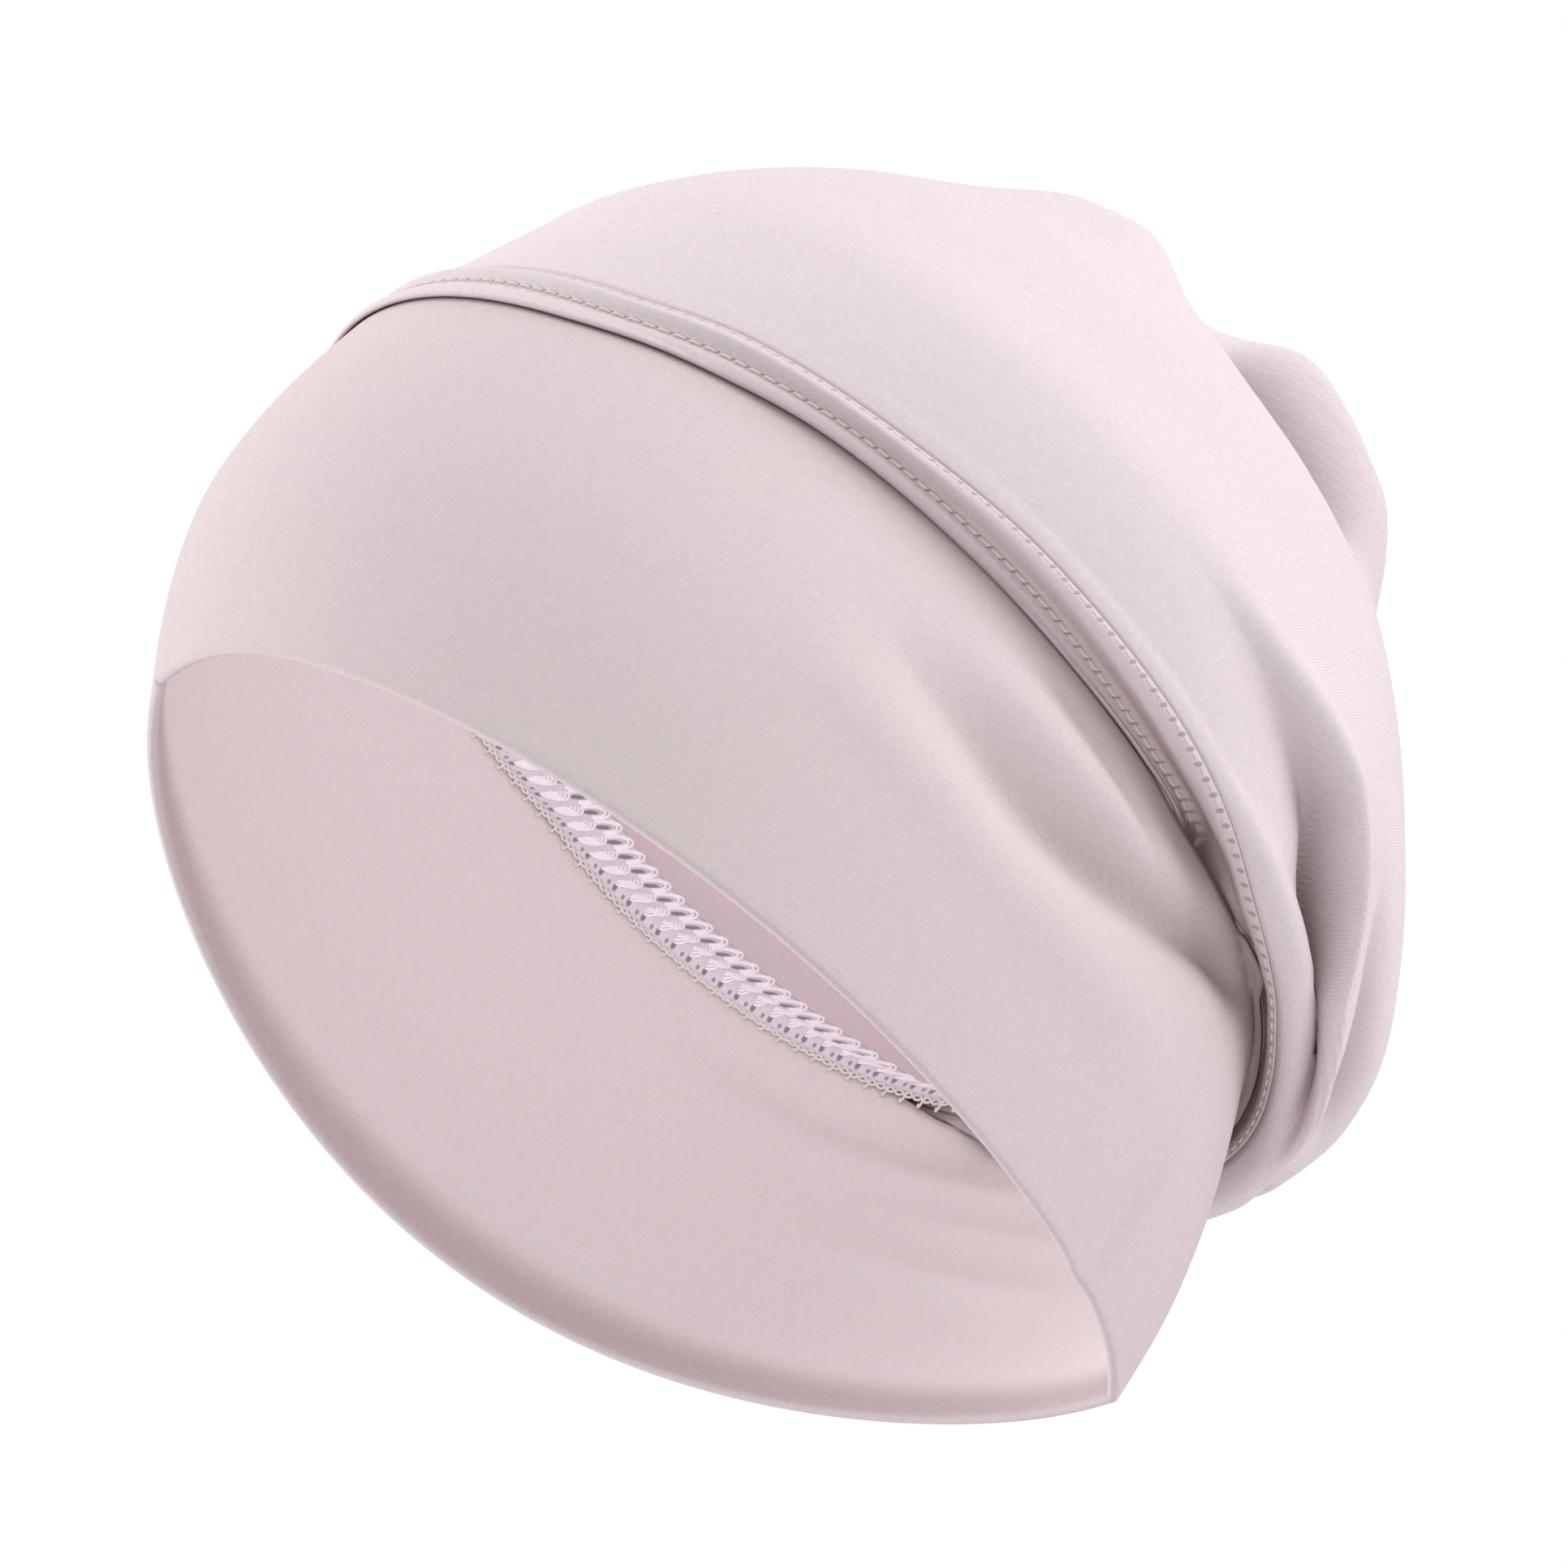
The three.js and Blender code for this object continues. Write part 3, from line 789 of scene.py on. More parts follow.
@dataclass(frozen=True)
class NodeSheet:
    """A small hand for wiring a material's nodes."""

    tree: bpy.types.NodeTree

    @property
    def shader(self) -> Node:
        """The material's shader."""
        return self.tree.nodes["Principled BSDF"]

    def add(self, kind: str, **settings: object) -> Node:
        """A new node with its settings.

        Args:
            kind: The node's type.
            settings: Its settings, by name.

        Returns:
            The node.
        """
        node = self.tree.nodes.new(kind)
        for name, value in settings.items():
            setattr(node, name, value)
        return node

    def fill(self, node: Node, **values: object) -> Node:
        """Sets a node's own sockets, by names with _ for spaces, and gives the node back.

        Args:
            node: The node.
            values: Constants for its sockets.

        Returns:
            The same node.
        """
        for name, value in values.items():
            node.inputs[name.replace("_", " ")].default_value = value
        return node

    def link(self, source: Socket, target: Socket) -> None:
        """Joins two sockets."""
        self.tree.links.new(source, target)

    def join(self, value: object, target: Socket) -> None:
        """Links a socket to another, or sets it to a constant.

        Args:
            value: The socket or the constant.
            target: The socket that gets it.
        """
        if isinstance(value, Socket):
            self.link(value, target)
        else:
            target.default_value = value

    def math(self, operation: str, *inputs: object) -> Socket:
        """A sum of sockets and numbers, by one math node.

        Args:
            operation: What it does.
            inputs: Its sockets and numbers.

        Returns:
            The result.
        """
        node = self.add("ShaderNodeMath", operation=operation)
        for socket, value in zip(node.inputs, inputs):
            self.join(value, socket)
        return node.outputs[0]

    def noise(self, scale: float, detail: float) -> Socket:
        """Noise that lies in the piece's own coordinates.

        Args:
            scale: How fine it is.
            detail: How many finer layers it has.

        Returns:
            The noise, from 0 to 1.
        """
        place = self.add("ShaderNodeTexCoord")
        node = self.fill(self.add("ShaderNodeTexNoise"), Scale=scale, Detail=detail)
        self.link(place.outputs["Object"], node.inputs["Vector"])
        return node.outputs["Fac"]

    def step(self, value: Socket, start: float, full: float) -> Socket:
        """A smooth step from 0 to 1 as a value goes from a start to a full value.

        Args:
            value: The value.
            start: Where the step is 0.
            full: Where it is 1.

        Returns:
            The step.
        """
        node = self.add("ShaderNodeMapRange", interpolation_type="SMOOTHSTEP")
        self.fill(node, From_Min=start, From_Max=full)
        self.link(value, node.inputs["Value"])
        return node.outputs[0]

    def mix(self, share: Socket, first: Tint, second: Tint) -> Socket:
        """A mix of two colours, each a socket or three numbers.

        Args:
            share: How much of the second there is.
            first: One colour.
            second: The other.

        Returns:
            The mixed colour.
        """
        node = self.add("ShaderNodeMix", data_type="RGBA")
        self.link(share, node.inputs[0])
        for socket, colour in ((node.inputs[6], first), (node.inputs[7], second)):
            self.join(colour if isinstance(colour, Socket) else (*colour, 1.0), socket)
        return node.outputs[2]

    def toned(self, colour: Tint, tone: Socket) -> Socket:
        """A colour, a socket or three numbers, made lighter or darker.

        Args:
            colour: The colour.
            tone: What it is multiplied by.

        Returns:
            The new colour.
        """
        node = self.add("ShaderNodeVectorMath", operation="SCALE")
        self.join(colour, node.inputs[0])
        self.link(tone, node.inputs["Scale"])
        return node.outputs[0]

    def relief(self, height: Socket, strength: float, distance: float) -> None:
        """Gives the shader small bumps by a height.

        Args:
            height: The bumps' height.
            strength: How strongly they read.
            distance: Metres for a height of one.
        """
        bump = self.fill(self.add("ShaderNodeBump"), Strength=strength, Distance=distance)
        self.link(height, bump.inputs["Height"])
        self.link(bump.outputs[0], self.shader.inputs["Normal"])


@dataclass(frozen=True)
class Spots:
    """A row of small dents or holes that repeats round the cap.

    Args:
        pitch: Metres from one to the next.
        shift: How far the first lies from the front.
        across: The row's place across the cloth, in its knit's coordinates.
        size: Half the width and half the height of one.
        colour: Its colour, linear: painted shade for the shadow in the dent or hole.
        depth: How deep it looks, in stitches.
    """

    pitch: float
    shift: float
    across: float
    size: tuple[float, float]
    colour: Colour
    depth: float = 3.0

    def inside(self, sheet: NodeSheet, chart: Node) -> Socket:
        """How far each place lies inside a spot, from 0 to 1.

        Args:
            sheet: The material's nodes.
            chart: The node with the cloth's own coordinates.

        Returns:
            The node output that gives it.
        """
        place = (chart.outputs[0], 1 / self.pitch, 0.5 - self.shift / self.pitch)
        turn = sheet.math("FRACT", sheet.math("MULTIPLY_ADD", *place))
        side = sheet.math("MULTIPLY", sheet.math("SUBTRACT", turn, 0.5), self.pitch / self.size[0])
        rise = sheet.math("SUBTRACT", chart.outputs[1], self.across)
        rise = sheet.math("MULTIPLY", rise, 1 / self.size[1])
        square = sheet.math("MULTIPLY", side, side), sheet.math("MULTIPLY", rise, rise)
        away = sheet.math("SQRT", sheet.math("ADD", *square))
        return sheet.step(away, 1.35, 0.65)


@dataclass(frozen=True)
class Jersey:
    """Fine stretch jersey: columns of small V stitches, matte, with a soft sheen.

    Args:
        name: The material's name.
        colour: Its main colour, linear.
        other: The colour that it drifts to in broad patches.
        lining: The colour of its purl side, where the cloth is turned in: paler than its face,
            partly as painted light that lightens the shaded inside.
        turns: Where along the cloth it turns in: where that starts, and where it is full.
        glow: How strongly it glows with no lamp, as painted light: on its turned side, or all over
            where it has no lining.
        wale: The width of one column of stitches.
        course: The height of one row of stitches.
        relief: How strongly the stitches read.
        painted_shade_reach: How wide a gap may be and still get painted shade inside it.
        painted_shade_strength: How strongly that painted shade darkens the colour.
        crease: The colour of the painted shade in creases and gaps.
        sheen: How much its fuzz brightens at a grazing angle.
        spots: Rows of dents and holes.
    """

    name: str
    colour: Colour
    other: Colour
    lining: Colour | None = None
    turns: tuple[float, float] = (-3 * MM, -14 * MM)
    # painted light: a glow with no lamp
    glow: float = 0.0
    wale: float = 0.62 * MM
    course: float = 0.5 * MM
    relief: float = 0.5
    # painted shade in creases and narrow gaps: its reach, its strength and its colour
    painted_shade_reach: float = 14 * MM
    painted_shade_strength: float = 0.8
    crease: Colour = (0.22, 0.13, 0.115)
    sheen: float = 0.15
    spots: tuple[Spots, ...] = ()

    def make(self) -> Material:
        """The material.

        Returns:
            The material.
        """
        material = bpy.data.materials.new(self.name)
        material.use_nodes = True
        sheet = NodeSheet(material.node_tree)
        shader = sheet.shader
        knit_map = sheet.add("ShaderNodeUVMap", uv_map="knit")
        chart = sheet.add("ShaderNodeSeparateXYZ")
        sheet.link(knit_map.outputs["UV"], chart.inputs[0])
        knit = self.stitches(sheet, chart)
        body = sheet.mix(sheet.noise(18.0, 2.0), self.colour, self.other)
        # Painted light: the turned side glows in the lining's colour; cloth without a lining glows
        # all over in its own colour.
        if self.lining:
            turned = sheet.step(chart.outputs[1], *self.turns)
            body = sheet.mix(turned, body, self.lining)
            light = sheet.math("MULTIPLY", turned, self.glow)
            sheet.link(light, shader.inputs["Emission Strength"])
            sheet.fill(shader, Emission_Color=(*self.lining, 1.0))
        else:
            sheet.fill(shader, Emission_Color=(*self.colour, 1.0), Emission_Strength=self.glow)
        shade = sheet.math("MULTIPLY_ADD", knit, 0.07, 0.92)
        mottle = sheet.math("MULTIPLY_ADD", sheet.noise(900.0, 3.0), 0.16, -0.05)
        # Painted shade: ambient occlusion darkens the colour towards a brown shade colour in
        # creases and narrow gaps.
        shade_occlusion = sheet.add("ShaderNodeAmbientOcclusion", samples=6)
        sheet.fill(shade_occlusion, Distance=self.painted_shade_reach)
        open_share = sheet.math("POWER", shade_occlusion.outputs["AO"], self.painted_shade_strength)
        toned = sheet.toned(body, sheet.math("ADD", shade, mottle))
        colour = sheet.mix(open_share, self.crease, toned)
        # Painted shade: the spot rows darken the holes and dents where their shadow falls.
        for row in self.spots:
            inside = row.inside(sheet, chart)
            colour = sheet.mix(inside, colour, row.colour)
            knit = sheet.math("MULTIPLY_ADD", inside, -row.depth, knit)
        sheet.link(colour, shader.inputs["Base Color"])
        sheet.relief(knit, self.relief, 0.12 * MM)
        sheet.fill(shader, Roughness=0.88, Specular_IOR_Level=0.15, Sheen_Weight=self.sheen)
        sheet.fill(shader, Sheen_Tint=(*self.colour, 1.0), Sheen_Roughness=0.45)
        return material

    def stitches(self, sheet: NodeSheet, chart: Node) -> Socket:
        """The height of the knit: columns of slanting stitches.

        Args:
            sheet: The material's nodes.
            chart: The node with the cloth's own coordinates.

        Returns:
            The node output that gives it.
        """
        across = sheet.math("MULTIPLY", chart.outputs[0], 1.0 / self.wale)
        along = sheet.math("MULTIPLY", chart.outputs[1], 1.0 / self.course)
        arm = sheet.math("PINGPONG", across, 0.5)
        column = sheet.math("SINE", sheet.math("MULTIPLY", arm, math.pi))
        slant = sheet.math("ADD", along, sheet.math("MULTIPLY", arm, 1.6))
        loop = sheet.math("SINE", sheet.math("MULTIPLY", slant, math.tau))
        return sheet.math("MULTIPLY_ADD", loop, 0.3, column)


@dataclass(frozen=True)
class Thread:
    """Spun sewing thread with a faint twist, and a glow of painted light, with no lamp."""

    name: str
    colour: Colour
    glow: float = 0.0

    def make(self) -> Material:
        """The material.

        Returns:
            The material.
        """
        material = bpy.data.materials.new(self.name)
        material.use_nodes = True
        sheet = NodeSheet(material.node_tree)
        shader = sheet.shader
        twist = sheet.noise(2500.0, 2.0)
        toned = sheet.toned(self.colour, sheet.math("MULTIPLY_ADD", twist, 0.3, 0.82))
        sheet.link(toned, shader.inputs["Base Color"])
        sheet.relief(twist, 0.4, 0.1 * MM)
        # Painted light: the thread glows in its own colour.
        sheet.fill(shader, Emission_Color=(*self.colour, 1.0), Emission_Strength=self.glow)
        sheet.fill(shader, Roughness=0.7, Sheen_Weight=0.3)
        return material


STITCH = 3 * MM
LADDER = 4 * MM
THREAD_ROUNDNESS = 2
ROW_LOW, ROW_HIGH = 2.2 * MM, 7.2 * MM
# Painted shade: dark spots for the shadow in the needle holes, and a tan one for the shade under
# each lower stitch.
NEEDLE_HOLES = (
    Spots(STITCH, STITCH / 2, ROW_LOW, (0.5 * MM, 0.42 * MM), (0.36, 0.25, 0.21)),
    Spots(STITCH, 0.0, ROW_LOW, (1.3 * MM, 0.75 * MM), (0.70, 0.58, 0.57), 2.0),
    Spots(STITCH, STITCH / 2, ROW_HIGH, (0.5 * MM, 0.36 * MM), (0.52, 0.41, 0.38), 1.5),
)
# Painted shade: near-black and dark spots for the shadow in the ladder's holes under its loops and
# in its lower row of dots.
LADDER_HOLES = (
    Spots(LADDER, 0.0, 26.2 * MM, (0.62 * MM, 1.15 * MM), (0.06, 0.028, 0.024), 4.0),
    Spots(LADDER, 1.0 * MM, 21.0 * MM, (0.5 * MM, 0.55 * MM), (0.07, 0.04, 0.045), 4.0),
    Spots(LADDER, 2.6 * MM, 20.9 * MM, (0.36 * MM, 0.36 * MM), (0.2, 0.15, 0.16), 3.0),
)
# Painted light: the band's lining is paler partly as painted light, and its turned side glows.
BAND_JERSEY = Jersey(
    "knit_band", (0.77, 0.655, 0.68), (0.765, 0.66, 0.665), lining=(0.92, 0.84, 0.85), glow=0.12
)
CROWN_JERSEY = Jersey("knit_crown", (0.87, 0.76, 0.805), (0.86, 0.75, 0.785))
ROLL_JERSEY = Jersey("knit_roll", (0.84, 0.735, 0.765), (0.83, 0.725, 0.75), spots=NEEDLE_HOLES)
# Painted light: the crown's inside is paler than its face partly as painted light, and it glows.
CROWN_INSIDE = Jersey("knit_crown_inside", (0.90, 0.80, 0.83), (0.89, 0.79, 0.81), glow=0.12)
# Painted light: the strip glows all over.
ALLOWANCE_CLOTH = Jersey(
    "knit_allowance", (0.82, 0.76, 0.85), (0.80, 0.73, 0.81), glow=0.24, spots=LADDER_HOLES
)
NEEDLE_THREAD = Thread("needle_thread", (0.84, 0.76, 0.75))
# Painted light: the looper and chain threads glow.
LOOPER_THREAD = Thread("looper_thread", (0.94, 0.91, 0.97), 0.28)
CHAIN_THREAD = Thread("chain_thread", (0.92, 0.87, 0.84), 0.12)


# The pieces


@dataclass
class Piece:
    """A part of the cap that follows its form."""

    form: CapForm

    def dress(self, piece: Object, slot: Slot, *finishes: Jersey | Thread) -> None:
        """Gives a piece its material, and fastens it to the cap.

        Args:
            piece: The piece, in its place.
            slot: The record's slot of its finish. Not used.
            finishes: What it is made of, outside first.
        """
        piece.data.materials.clear()
        for worn in finishes:
            piece.data.materials.append(bpy.data.materials.get(worn.name) or worn.make())
        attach(piece, "root")
        log.info("%s: %d faces", piece.name, len(piece.data.polygons))

    def chart(self, angle: Array, across: Array) -> Array:
        """The knit's own coordinates, for cloth that is as long as the seam."""
        arc = self.form.arc(angle)
        return np.c_[arc, across, np.full_like(arc, self.form.girth)]

    def wall(self, piece: Object, thickness: float) -> None:
        """Gives a sheet its thickness, inwards.

        Args:
            piece: The sheet.
            thickness: Its thickness, in metres.
        """
        solid = piece.modifiers.new("wall", "SOLIDIFY")
        solid.thickness = thickness
        solid.offset = -1.0


@dataclass
class Band(Piece):
    """The wide band: one strip folded double at the opening.

    Args:
        cloth: The jersey's thickness.
        wall_width: The thickness of both layers.
        top: Degrees from the front, and where both layers end above the seam there, in
            millimetres.
        flare: How far the top edge stands out where the gather pulls away from it.
        flare_round: Degrees from the front where that starts, and where it is full.
        flare_height: How high it is.
        chart_height: The band's height in the knit's coordinates.
    """

    cloth: float = 1.0 * MM
    wall_width: float = 2.2 * MM
    top: tuple[Row, ...] = (
        (0, 30, 48, 65, 82, 97, 110, 122, 130, 139, 145.5, 151, 156, 165, 180),
        (0.5, 0.1, -0.1, 1.5, 2.4, 2.2, 0.9, -0.9, -2.4, -1.9, 0.75, 3.0, 1.4, 1.8, 2.7),
    )
    flare: float = 0.9 * MM
    flare_round: tuple[float, float] = (126.0, 140.0)
    flare_height: float = 8 * MM
    chart_height: float = 86 * MM
    columns: int = 360
    rows_up: int = 52
    rows_round: int = 8

    def build(self) -> None:
        """Makes the band."""
        radius = self.wall_width / 2
        up = np.linspace(1.0, 0.0, self.rows_up + 1)
        flat = np.zeros_like(up)
        turn = np.linspace(0.0, np.pi, self.rows_round + 1)[1:-1]
        share = np.r_[up, 0 * turn, up[::-1]]
        drop = np.r_[flat, radius * np.sin(turn), flat]
        depth = np.r_[flat, radius * (1 - np.cos(turn)), flat + self.wall_width]
        run = np.r_[up, 0 * turn, -up[::-1]] * self.chart_height - drop

        def place(angle: Array, row: Array) -> Array:
            """The points of the band, whose rows lie between its opening and its top.

            Args:
                angle: Degrees round the cap.
                row: Row numbers, from the outside's top to the inside's.

            Returns:
                The points.
            """
            across = from_front(angle)
            low = -self.form.band_height(angle) + radius
            top = through(*self.top, across) * MM
            distance = low + share[row] * (top - low) - drop[row]
            near_top = between(distance - top, -self.flare_height, 0.0)
            flare = self.flare * between(across, *self.flare_round) * near_top
            return self.form.surface(angle, distance, flare - depth[row])

        def chart(angle: Array, row: Array) -> Array:
            """The knit's coordinates for angles and row numbers."""
            return self.chart(angle, run[row])

        piece = cloth_mesh("band_cloth", self.columns, len(share) - 1, place, chart)
        self.wall(piece, self.cloth)
        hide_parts("band")
        self.dress(piece, Slot.BAND, BAND_JERSEY)


@dataclass
class Crown(Piece):
    """The gathered bag above the stitched edge.

    Args:
        cloth: The jersey's thickness.
        tuck_rows: Distances above the seam of the rows that are tucked under the edge.
        tucked: How deep they lie under it.
        starts: Where the cloth comes out from under the edge.
        folded_to: Up to where its rows are close together, for the folds.
    """

    cloth: float = 1.2 * MM
    tuck_rows: Row = (0.4 * MM, 3.0 * MM, 5.5 * MM, 7.2 * MM)
    tucked: float = 1.5 * MM
    starts: float = 7.9 * MM
    folded_to: float = 66 * MM
    columns: int = 360
    rows_folded: int = 78
    rows_top: int = 50

    def build(self) -> None:
        """Makes the crown."""
        low = np.linspace(self.starts, self.folded_to, self.rows_folded)
        high = np.linspace(self.folded_to, self.form.crown_length, self.rows_top + 1)[1:]
        distance = np.r_[self.tuck_rows, low, high]
        lift = np.where(distance < self.starts, -self.tucked, 0.0)
        slack = self.form.slack(distance)

        def place(angle: Array, row: Array) -> Array:
            """The points for angles and row numbers."""
            return self.form.over_seam(angle, distance[row], lift[row])

        def chart(angle: Array, row: Array) -> Array:
            """The knit's coordinates for angles and row numbers."""
            girth = self.form.girth * slack[row]
            return np.c_[self.form.arc(angle) * slack[row], distance[row], girth]

        piece = cloth_mesh("crown_cloth", self.columns, len(distance) - 1, place, chart)
        self.wall(piece, self.cloth)
        piece.modifiers["wall"].material_offset = 1
        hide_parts("crown")
        self.dress(piece, Slot.CROWN, CROWN_JERSEY, CROWN_INSIDE)


@dataclass
class StitchedEdge(Piece):
    """The crown's turned edge: a lip, a groove and a soft roll, with two rows of stitches."""

    cloth: float = 1.2 * MM
    lip: float = -1.0 * MM
    ends: float = 7.8 * MM
    columns: int = 480
    rows_across: int = 26
    rows_round: int = 6

    def build(self) -> None:
        """Makes the edge."""
        radius = self.cloth / 2
        over = np.linspace(self.ends, self.lip + radius, self.rows_across + 1)
        turn = np.linspace(0.0, np.pi, self.rows_round + 1)[1:-1]
        distance = np.r_[over, self.lip + radius - radius * np.sin(turn), over[::-1], over[:1]]
        depth = np.r_[0 * over, radius * (1 - np.cos(turn)), 0 * over + self.cloth, 0.0]
        beside = 20 * MM  # keeps the needle holes off the lining
        run = np.r_[over, over[-1] - radius * turn, over[::-1] - beside, over[:1]]

        def place(angle: Array, row: Array) -> Array:
            """The points for angles and row numbers."""
            return self.form.over_seam(angle, distance[row], -depth[row])

        def chart(angle: Array, row: Array) -> Array:
            """The knit's coordinates for angles and row numbers."""
            return self.chart(angle, run[row])

        piece = cloth_mesh("stitched_edge", self.columns, len(distance) - 1, place, chart)
        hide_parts("seam_roll")
        self.dress(piece, Slot.ROLL, ROLL_JERSEY)


@dataclass
class Allowance(Piece):
    """The seam allowance inside, under its cover stitching.

    Args:
        cloth: Its thickness.
        starts: Its lower edge's distance above the seam.
        reach: Its upper edge's distance.
        stands_to: Degrees from the front up to where it stands straight up.
        flat_from: Degrees from which it lies flat against the crown.
        foot: How far below the seam the slope that it follows is read.
        stands_in: How far inside the seam it stands.
        clear: How far under the stitched edge's face it stays.
        course: Degrees from the front, and how far its seam wanders there, in millimetres.
        holes_apart: How far on the inner face lies in the knit's coordinates, in
            thicknesses, so that it alone has the ladder's holes.
    """

    cloth: float = 1.0 * MM
    starts: float = 0.2 * MM
    reach: float = 9.0 * MM
    stands_to: float = 116.0
    flat_from: float = 150.0
    foot: float = 4 * MM
    stands_in: float = 1.8 * MM
    clear: float = 3.6 * MM
    course: tuple[Row, ...] = (
        (0, 60, 75, 83, 93, 104, 113, 128, 145),
        (0.0, 0.0, -0.2, -1.6, -2.6, -2.8, -2.3, -1.0, 0.0),
    )
    holes_apart: float = 20.0
    columns: int = 360
    rows: int = 10

    def real(self, angle: Array, distance: Array) -> Array:
        """Where a distance on the strip lies, as its seam wanders."""
        return distance + through(*self.course, from_front(angle)) * MM

    def depth(self, angle: Array, distance: Array) -> Array:
        """How deep under the folded surface the strip's outer side lies.

        Args:
            angle: Degrees round the cap.
            distance: Distances above the seam, in metres.

        Returns:
            Metres inward.
        """
        form = self.form
        clear = self.clear - form.edge.read(angle, form.edge.straightened(angle, distance))
        foot = 0.0 * angle - self.foot
        seam = form.plain(angle, 0.0 * angle)
        along = unit(seam - form.plain(angle, foot))
        out = unit(np.cross(form.plain(angle + 1.0, foot) - form.plain(angle - 1.0, foot), along))
        line = seam + along * distance[..., None] - out * self.stands_in
        normal, _ = form.directions(angle, distance)
        straight = np.sum((form.plain(angle, distance) - line) * normal, axis=-1)
        flat = between(from_front(angle), self.stands_to, self.flat_from)
        return np.maximum(clear, straight) * (1.0 - flat) + clear * flat

    def beside(self, arc: Array, distance: Array, rise: Array, inward: Array) -> Array:
        """Points beside the strip.

        Args:
            arc: Lengths of cloth from the front.
            distance: Distances above the seam, on the strip.
            rise: Metres above those, off the strip.
            inward: Metres in from its outer face.

        Returns:
            The points.
        """
        angle = self.form.angle_at(np.mod(arc, self.form.girth))
        real = self.real(angle, distance)
        return self.form.surface(angle, real + rise, -self.depth(angle, real) - inward)

    def build(self) -> None:
        """Makes the strip."""
        up = np.linspace(self.starts, self.reach, self.rows + 1)
        distance = np.r_[up, up[::-1], up[:1]]
        inward = np.r_[0 * up, 0 * up + self.cloth, 0.0]

        def place(angle: Array, row: Array) -> Array:
            """The points for angles and row numbers."""
            real = self.real(angle, distance[row])
            return self.form.surface(angle, real, -self.depth(angle, real) - inward[row])

        def chart(angle: Array, row: Array) -> Array:
            """The knit's coordinates for angles and row numbers."""
            return self.chart(angle, distance[row] + inward[row] * self.holes_apart)

        piece = cloth_mesh("seam_strip", self.columns, len(distance) - 1, place, chart)
        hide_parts("seam_allowance")
        self.dress(piece, Slot.ALLOWANCE, ALLOWANCE_CLOTH)


@dataclass
class NeedleRows(Piece):
    """Two rows of needle stitches along the stitched edge, one in its groove and one beyond."""

    length: float = 2.35 * MM
    thickness: tuple[float, float] = (0.55 * MM, 0.34 * MM)
    stands: tuple[float, float] = (0.16 * MM, 0.02 * MM)
    dips: float = 0.5 * MM

    def build(self) -> None:
        """Makes both rows."""
        form = self.form
        bend = np.linspace(-1.0, 1.0, 7)
        middles = np.arange(0.0, form.girth - STITCH / 2, STITCH)
        for name, row, thickness, stands in zip(
            ("lower_stitches", "upper_stitches"), (ROW_LOW, ROW_HIGH), self.thickness, self.stands
        ):
            arc = middles[:, None] + bend * self.length / 2
            angle = form.angle_at(np.mod(arc, form.girth)).ravel()
            lift = np.tile(stands - self.dips * bend**4, len(middles))
            lines = form.over_seam(angle, np.full_like(angle, row), lift)
            piece = thread_mesh(name, lines.reshape(len(middles), -1, 3), thickness)
            self.dress(piece, Slot.THREAD, NEEDLE_THREAD)


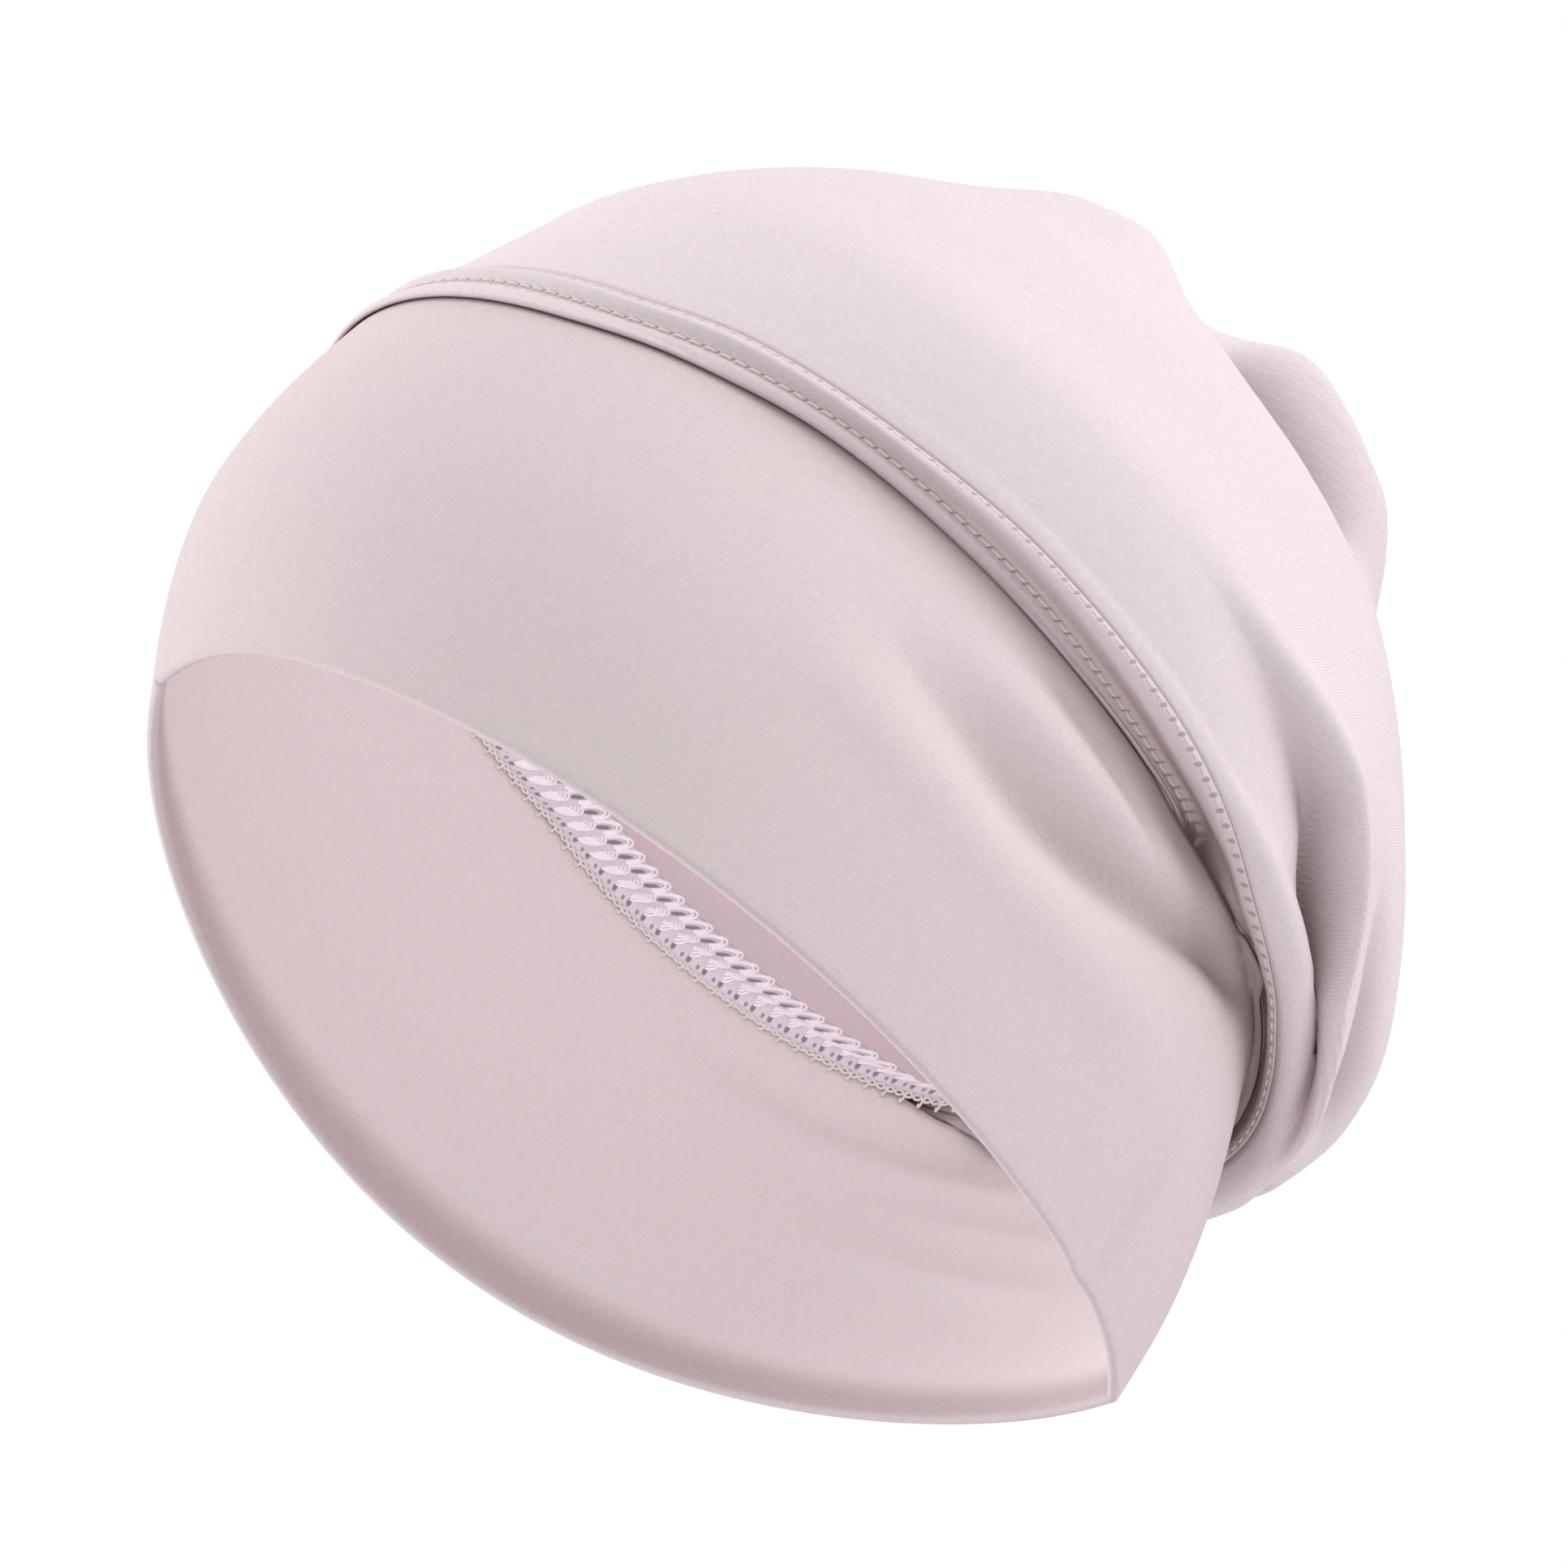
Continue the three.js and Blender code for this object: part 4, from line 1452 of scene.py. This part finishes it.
@dataclass
class Ladder(Piece):
    """The cover stitching inside: loops and bundles over the strip, and a chain along its foot.

    Args:
        strip: The strip that it lies on.
        thread: The threads' diameter.
        rings: Half the width and half the height of each loop, the distance of its middle and
            its lift off the strip at its feet and its top, in millimetres.
        reaches: How far the nested threads of a bundle bow out, in millimetres.
    """

    strip: Allowance
    thread: float = 0.5 * MM
    rings: tuple[Row, ...] = ((1.75, 2.2, 6.5, 0.1, 0.25), (1.3, 1.6, 6.45, 0.2, 0.2))
    reaches: Row = (2.6, 2.0, 1.4, 0.8)

    def starts(self) -> Array:
        """Where each repeat of the ladder starts."""
        return np.arange(0.0, self.form.girth - LADDER / 2, LADDER)

    def repeats(self, arc: Array, distance: Array, lift: Array) -> Array:
        """The same small line once in each repeat of the ladder, from millimetres.

        Args:
            arc: Lengths of cloth from the start of a repeat.
            distance: Distances above the seam.
            lift: How far the line lies off the strip, into the cap.

        Returns:
            The lines, an array of points each.
        """
        starts = self.starts()
        flat = (starts[:, None] + arc * MM).ravel()
        distance, lift = (np.tile(row * MM, len(starts)) for row in (distance, lift))
        line = self.strip.beside(flat, distance, 0.0, self.strip.cloth + lift)
        return line.reshape(len(starts), -1, 3)

    def sew(self, name: str, lines: Sequence[Array], finish: Thread) -> None:
        """Makes one set of threads."""
        self.dress(thread_mesh(name, lines, self.thread), Slot.THREAD, finish)

    def build(self) -> None:
        """Makes the loops, the bundles and the chain."""
        turn = np.radians(np.linspace(205.0, -25.0, 11))
        arch = np.sin(np.clip(turn, 0.0, np.pi))
        loops = [
            self.repeats(wide * np.cos(turn), middle + high * np.sin(turn), feet + top * arch)
            for wide, high, middle, feet, top in self.rings
        ]
        self.sew("loops", np.concatenate(loops), LOOPER_THREAD)
        bow = np.radians(np.linspace(-80.0, 80.0, 9))
        lift = 0.24 * np.cos(bow) - 0.04
        bundles = [
            self.repeats(1.7 - reach * np.cos(bow), 3.45 + 0.8 * reach * np.sin(bow), lift)
            for reach in self.reaches
        ]
        self.sew("bundles", np.concatenate(bundles), LOOPER_THREAD)
        self.chain()

    def under(self, arc: Array, drop: Array, lift: Array) -> Array:
        """Points at metres above the strip's lower edge, and metres in from its middle."""
        edge = np.full_like(arc, self.strip.starts)
        return self.strip.beside(arc, edge, drop, self.strip.cloth / 2 + lift)

    def chain(self) -> None:
        """Makes the chain along the foot of the strip, and the tail of each of its stitches."""
        arc = np.linspace(0.0, self.form.girth, int(self.form.girth / LADDER) * 10 + 1)
        beat = 2 * np.pi * arc / LADDER
        lines = [
            self.under(arc, (-0.3 + 0.32 * np.sin(turn)) * MM, 0.2 * np.cos(turn) * MM)
            for turn in (beat, beat + np.pi)
        ]
        starts = self.starts()
        bend = np.linspace(0.0, 1.0, 6)
        flat = (starts[:, None] + (1.2 + 0.9 * bend) * MM).ravel()
        drop = np.tile((-0.2 - 1.2 * np.sin(np.pi * bend * 0.8)) * MM, len(starts))
        lift = np.tile((0.2 - 0.7 * bend) * MM, len(starts))
        tails = self.under(flat, drop, lift).reshape(len(starts), -1, 3)
        self.sew("chain", [*lines, *tails], CHAIN_THREAD)


# The studio


@dataclass(frozen=True)
class Lamp:
    """A soft square lamp that looks at the cap.

    Args:
        name: Its name.
        right: How far it stands to the picture's right.
        up: How far up in the picture.
        back: How far from the cap towards the camera.
        power: Watts.
    """

    name: str
    right: float
    up: float
    back: float
    power: float


@dataclass(frozen=True)
class Studio:
    """A pale floor far below, soft white surroundings and the camera of the photograph.

    Args:
        azimuth: Degrees round the cap from its front to the camera.
        elevation: Degrees of the camera above the opening's middle; it looks up from below.
        distance: From the opening's middle to the camera.
        lens: Focal length on a sensor 36 mm wide.
        aim_right: How far the picture's middle lies right of the opening's middle.
        aim_up: How far it lies above it.
        ambient: How much light the surroundings give.
        lamps: The lamps.
        lamp_size: The length of each lamp's side.
        floor_height: Where the floor lies.
        floor_radius: How far it reaches.
        floor_grey: How pale it is.
    """

    azimuth: float = 69.5
    elevation: float = -31.0
    distance: float = 1.575
    lens: float = 200.1
    aim_right: float = 28.2 * MM
    aim_up: float = 45.9 * MM
    ambient: float = 0.53
    lamps: tuple[Lamp, ...] = (
        Lamp("top", 0.0, 2.4, 0.0, 20.0),
        Lamp("key", 1.6, 1.6, 0.2, 17.0),
        Lamp("left", -2.3, 0.0, -0.4, 38.0),
        Lamp("right", 2.4, -0.1, -0.1, 15.0),
        Lamp("lower", 0.0, -1.6, 1.6, 6.0),
    )
    lamp_size: float = 1.7
    floor_height: float = -2.6
    floor_radius: float = 4.0
    floor_grey: float = 0.9

    def basis(self) -> tuple[Vector, Vector, Vector]:
        """The camera's directions: to its right, up and back.

        Returns:
            Three directions, one long.
        """
        turn, lift = math.radians(self.azimuth), math.radians(self.elevation)
        right = Vector((math.cos(turn), math.sin(turn), 0.0))
        level = math.cos(lift)
        back = Vector((math.sin(turn) * level, -math.cos(turn) * level, math.sin(lift)))
        return right, back.cross(right), back

    def build(self) -> None:
        """Makes the camera, the surroundings, the lamps and the floor."""
        self.camera()
        self.surroundings()
        for lamp in self.lamps:
            self.light(lamp)
        self.floor()

    def camera(self) -> None:
        """Makes the camera."""
        right, up, back = self.basis()
        place = back * self.distance
        away = (place - right * self.aim_right - up * self.aim_up).normalized()
        side = up.cross(away).normalized()
        turned = Matrix((side, away.cross(side), away)).transposed().to_4x4()
        data = bpy.data.cameras.new("camera")
        data.lens = self.lens
        data.sensor_width = 36.0
        data.clip_start, data.clip_end = 0.05, 60.0
        eye = stand("camera", data)
        eye.matrix_world = Matrix.Translation(place) @ turned
        bpy.context.scene.camera = eye

    def surroundings(self) -> None:
        """Makes the white world: full for the background, soft for the light on the cap."""
        world = bpy.data.worlds.new("studio")
        bpy.context.scene.world = world
        world.use_nodes = True
        sheet = NodeSheet(world.node_tree)
        light = world.node_tree.nodes["Background"]
        seen = sheet.add("ShaderNodeLightPath")
        strength = sheet.add("ShaderNodeMix", data_type="FLOAT")
        sheet.link(seen.outputs["Is Camera Ray"], strength.inputs[0])
        strength.inputs[2].default_value = self.ambient
        strength.inputs[3].default_value = 1.0
        sheet.link(strength.outputs[0], light.inputs["Strength"])
        light.inputs["Color"].default_value = (1.0, 1.0, 1.0, 1.0)

    def light(self, lamp: Lamp) -> None:
        """Makes a lamp.

        Args:
            lamp: Where it stands and how strong it is.
        """
        right, up, back = self.basis()
        data = bpy.data.lights.new(lamp.name, "AREA")
        data.energy = lamp.power
        data.size = self.lamp_size
        thing = stand(lamp.name, data)
        thing.location = right * lamp.right + up * lamp.up + back * lamp.back
        thing.visible_camera = False
        thing.rotation_euler = thing.location.to_track_quat("Z", "Y").to_euler()

    def floor(self) -> None:
        """Makes the floor."""
        form = bmesh.new()
        bmesh.ops.create_circle(form, cap_ends=True, radius=self.floor_radius, segments=96)
        bmesh.ops.translate(form, vec=(0.0, 0.0, self.floor_height), verts=form.verts[:])
        mesh = bpy.data.meshes.new("floor")
        form.to_mesh(mesh)
        form.free()
        paint = bpy.data.materials.new("floor_paint")
        paint.use_nodes = True
        sheet = NodeSheet(paint.node_tree)
        sheet.fill(sheet.shader, Base_Color=(*[self.floor_grey] * 3, 1.0), Roughness=0.9)
        mesh.materials.append(paint)
        stand("floor", mesh)


def main() -> None:
    """Builds the studio and the cap."""
    logging.basicConfig(level=logging.INFO, format="%(message)s")
    bpy.context.scene.view_settings.view_transform = "Standard"
    Studio().build()
    form = CapForm()
    strip = Allowance(form)
    for piece in (Band(form), Crown(form), StitchedEdge(form), strip):
        piece.build()
    NeedleRows(form).build()
    Ladder(form, strip).build()


if __name__ == "__main__":
    main()
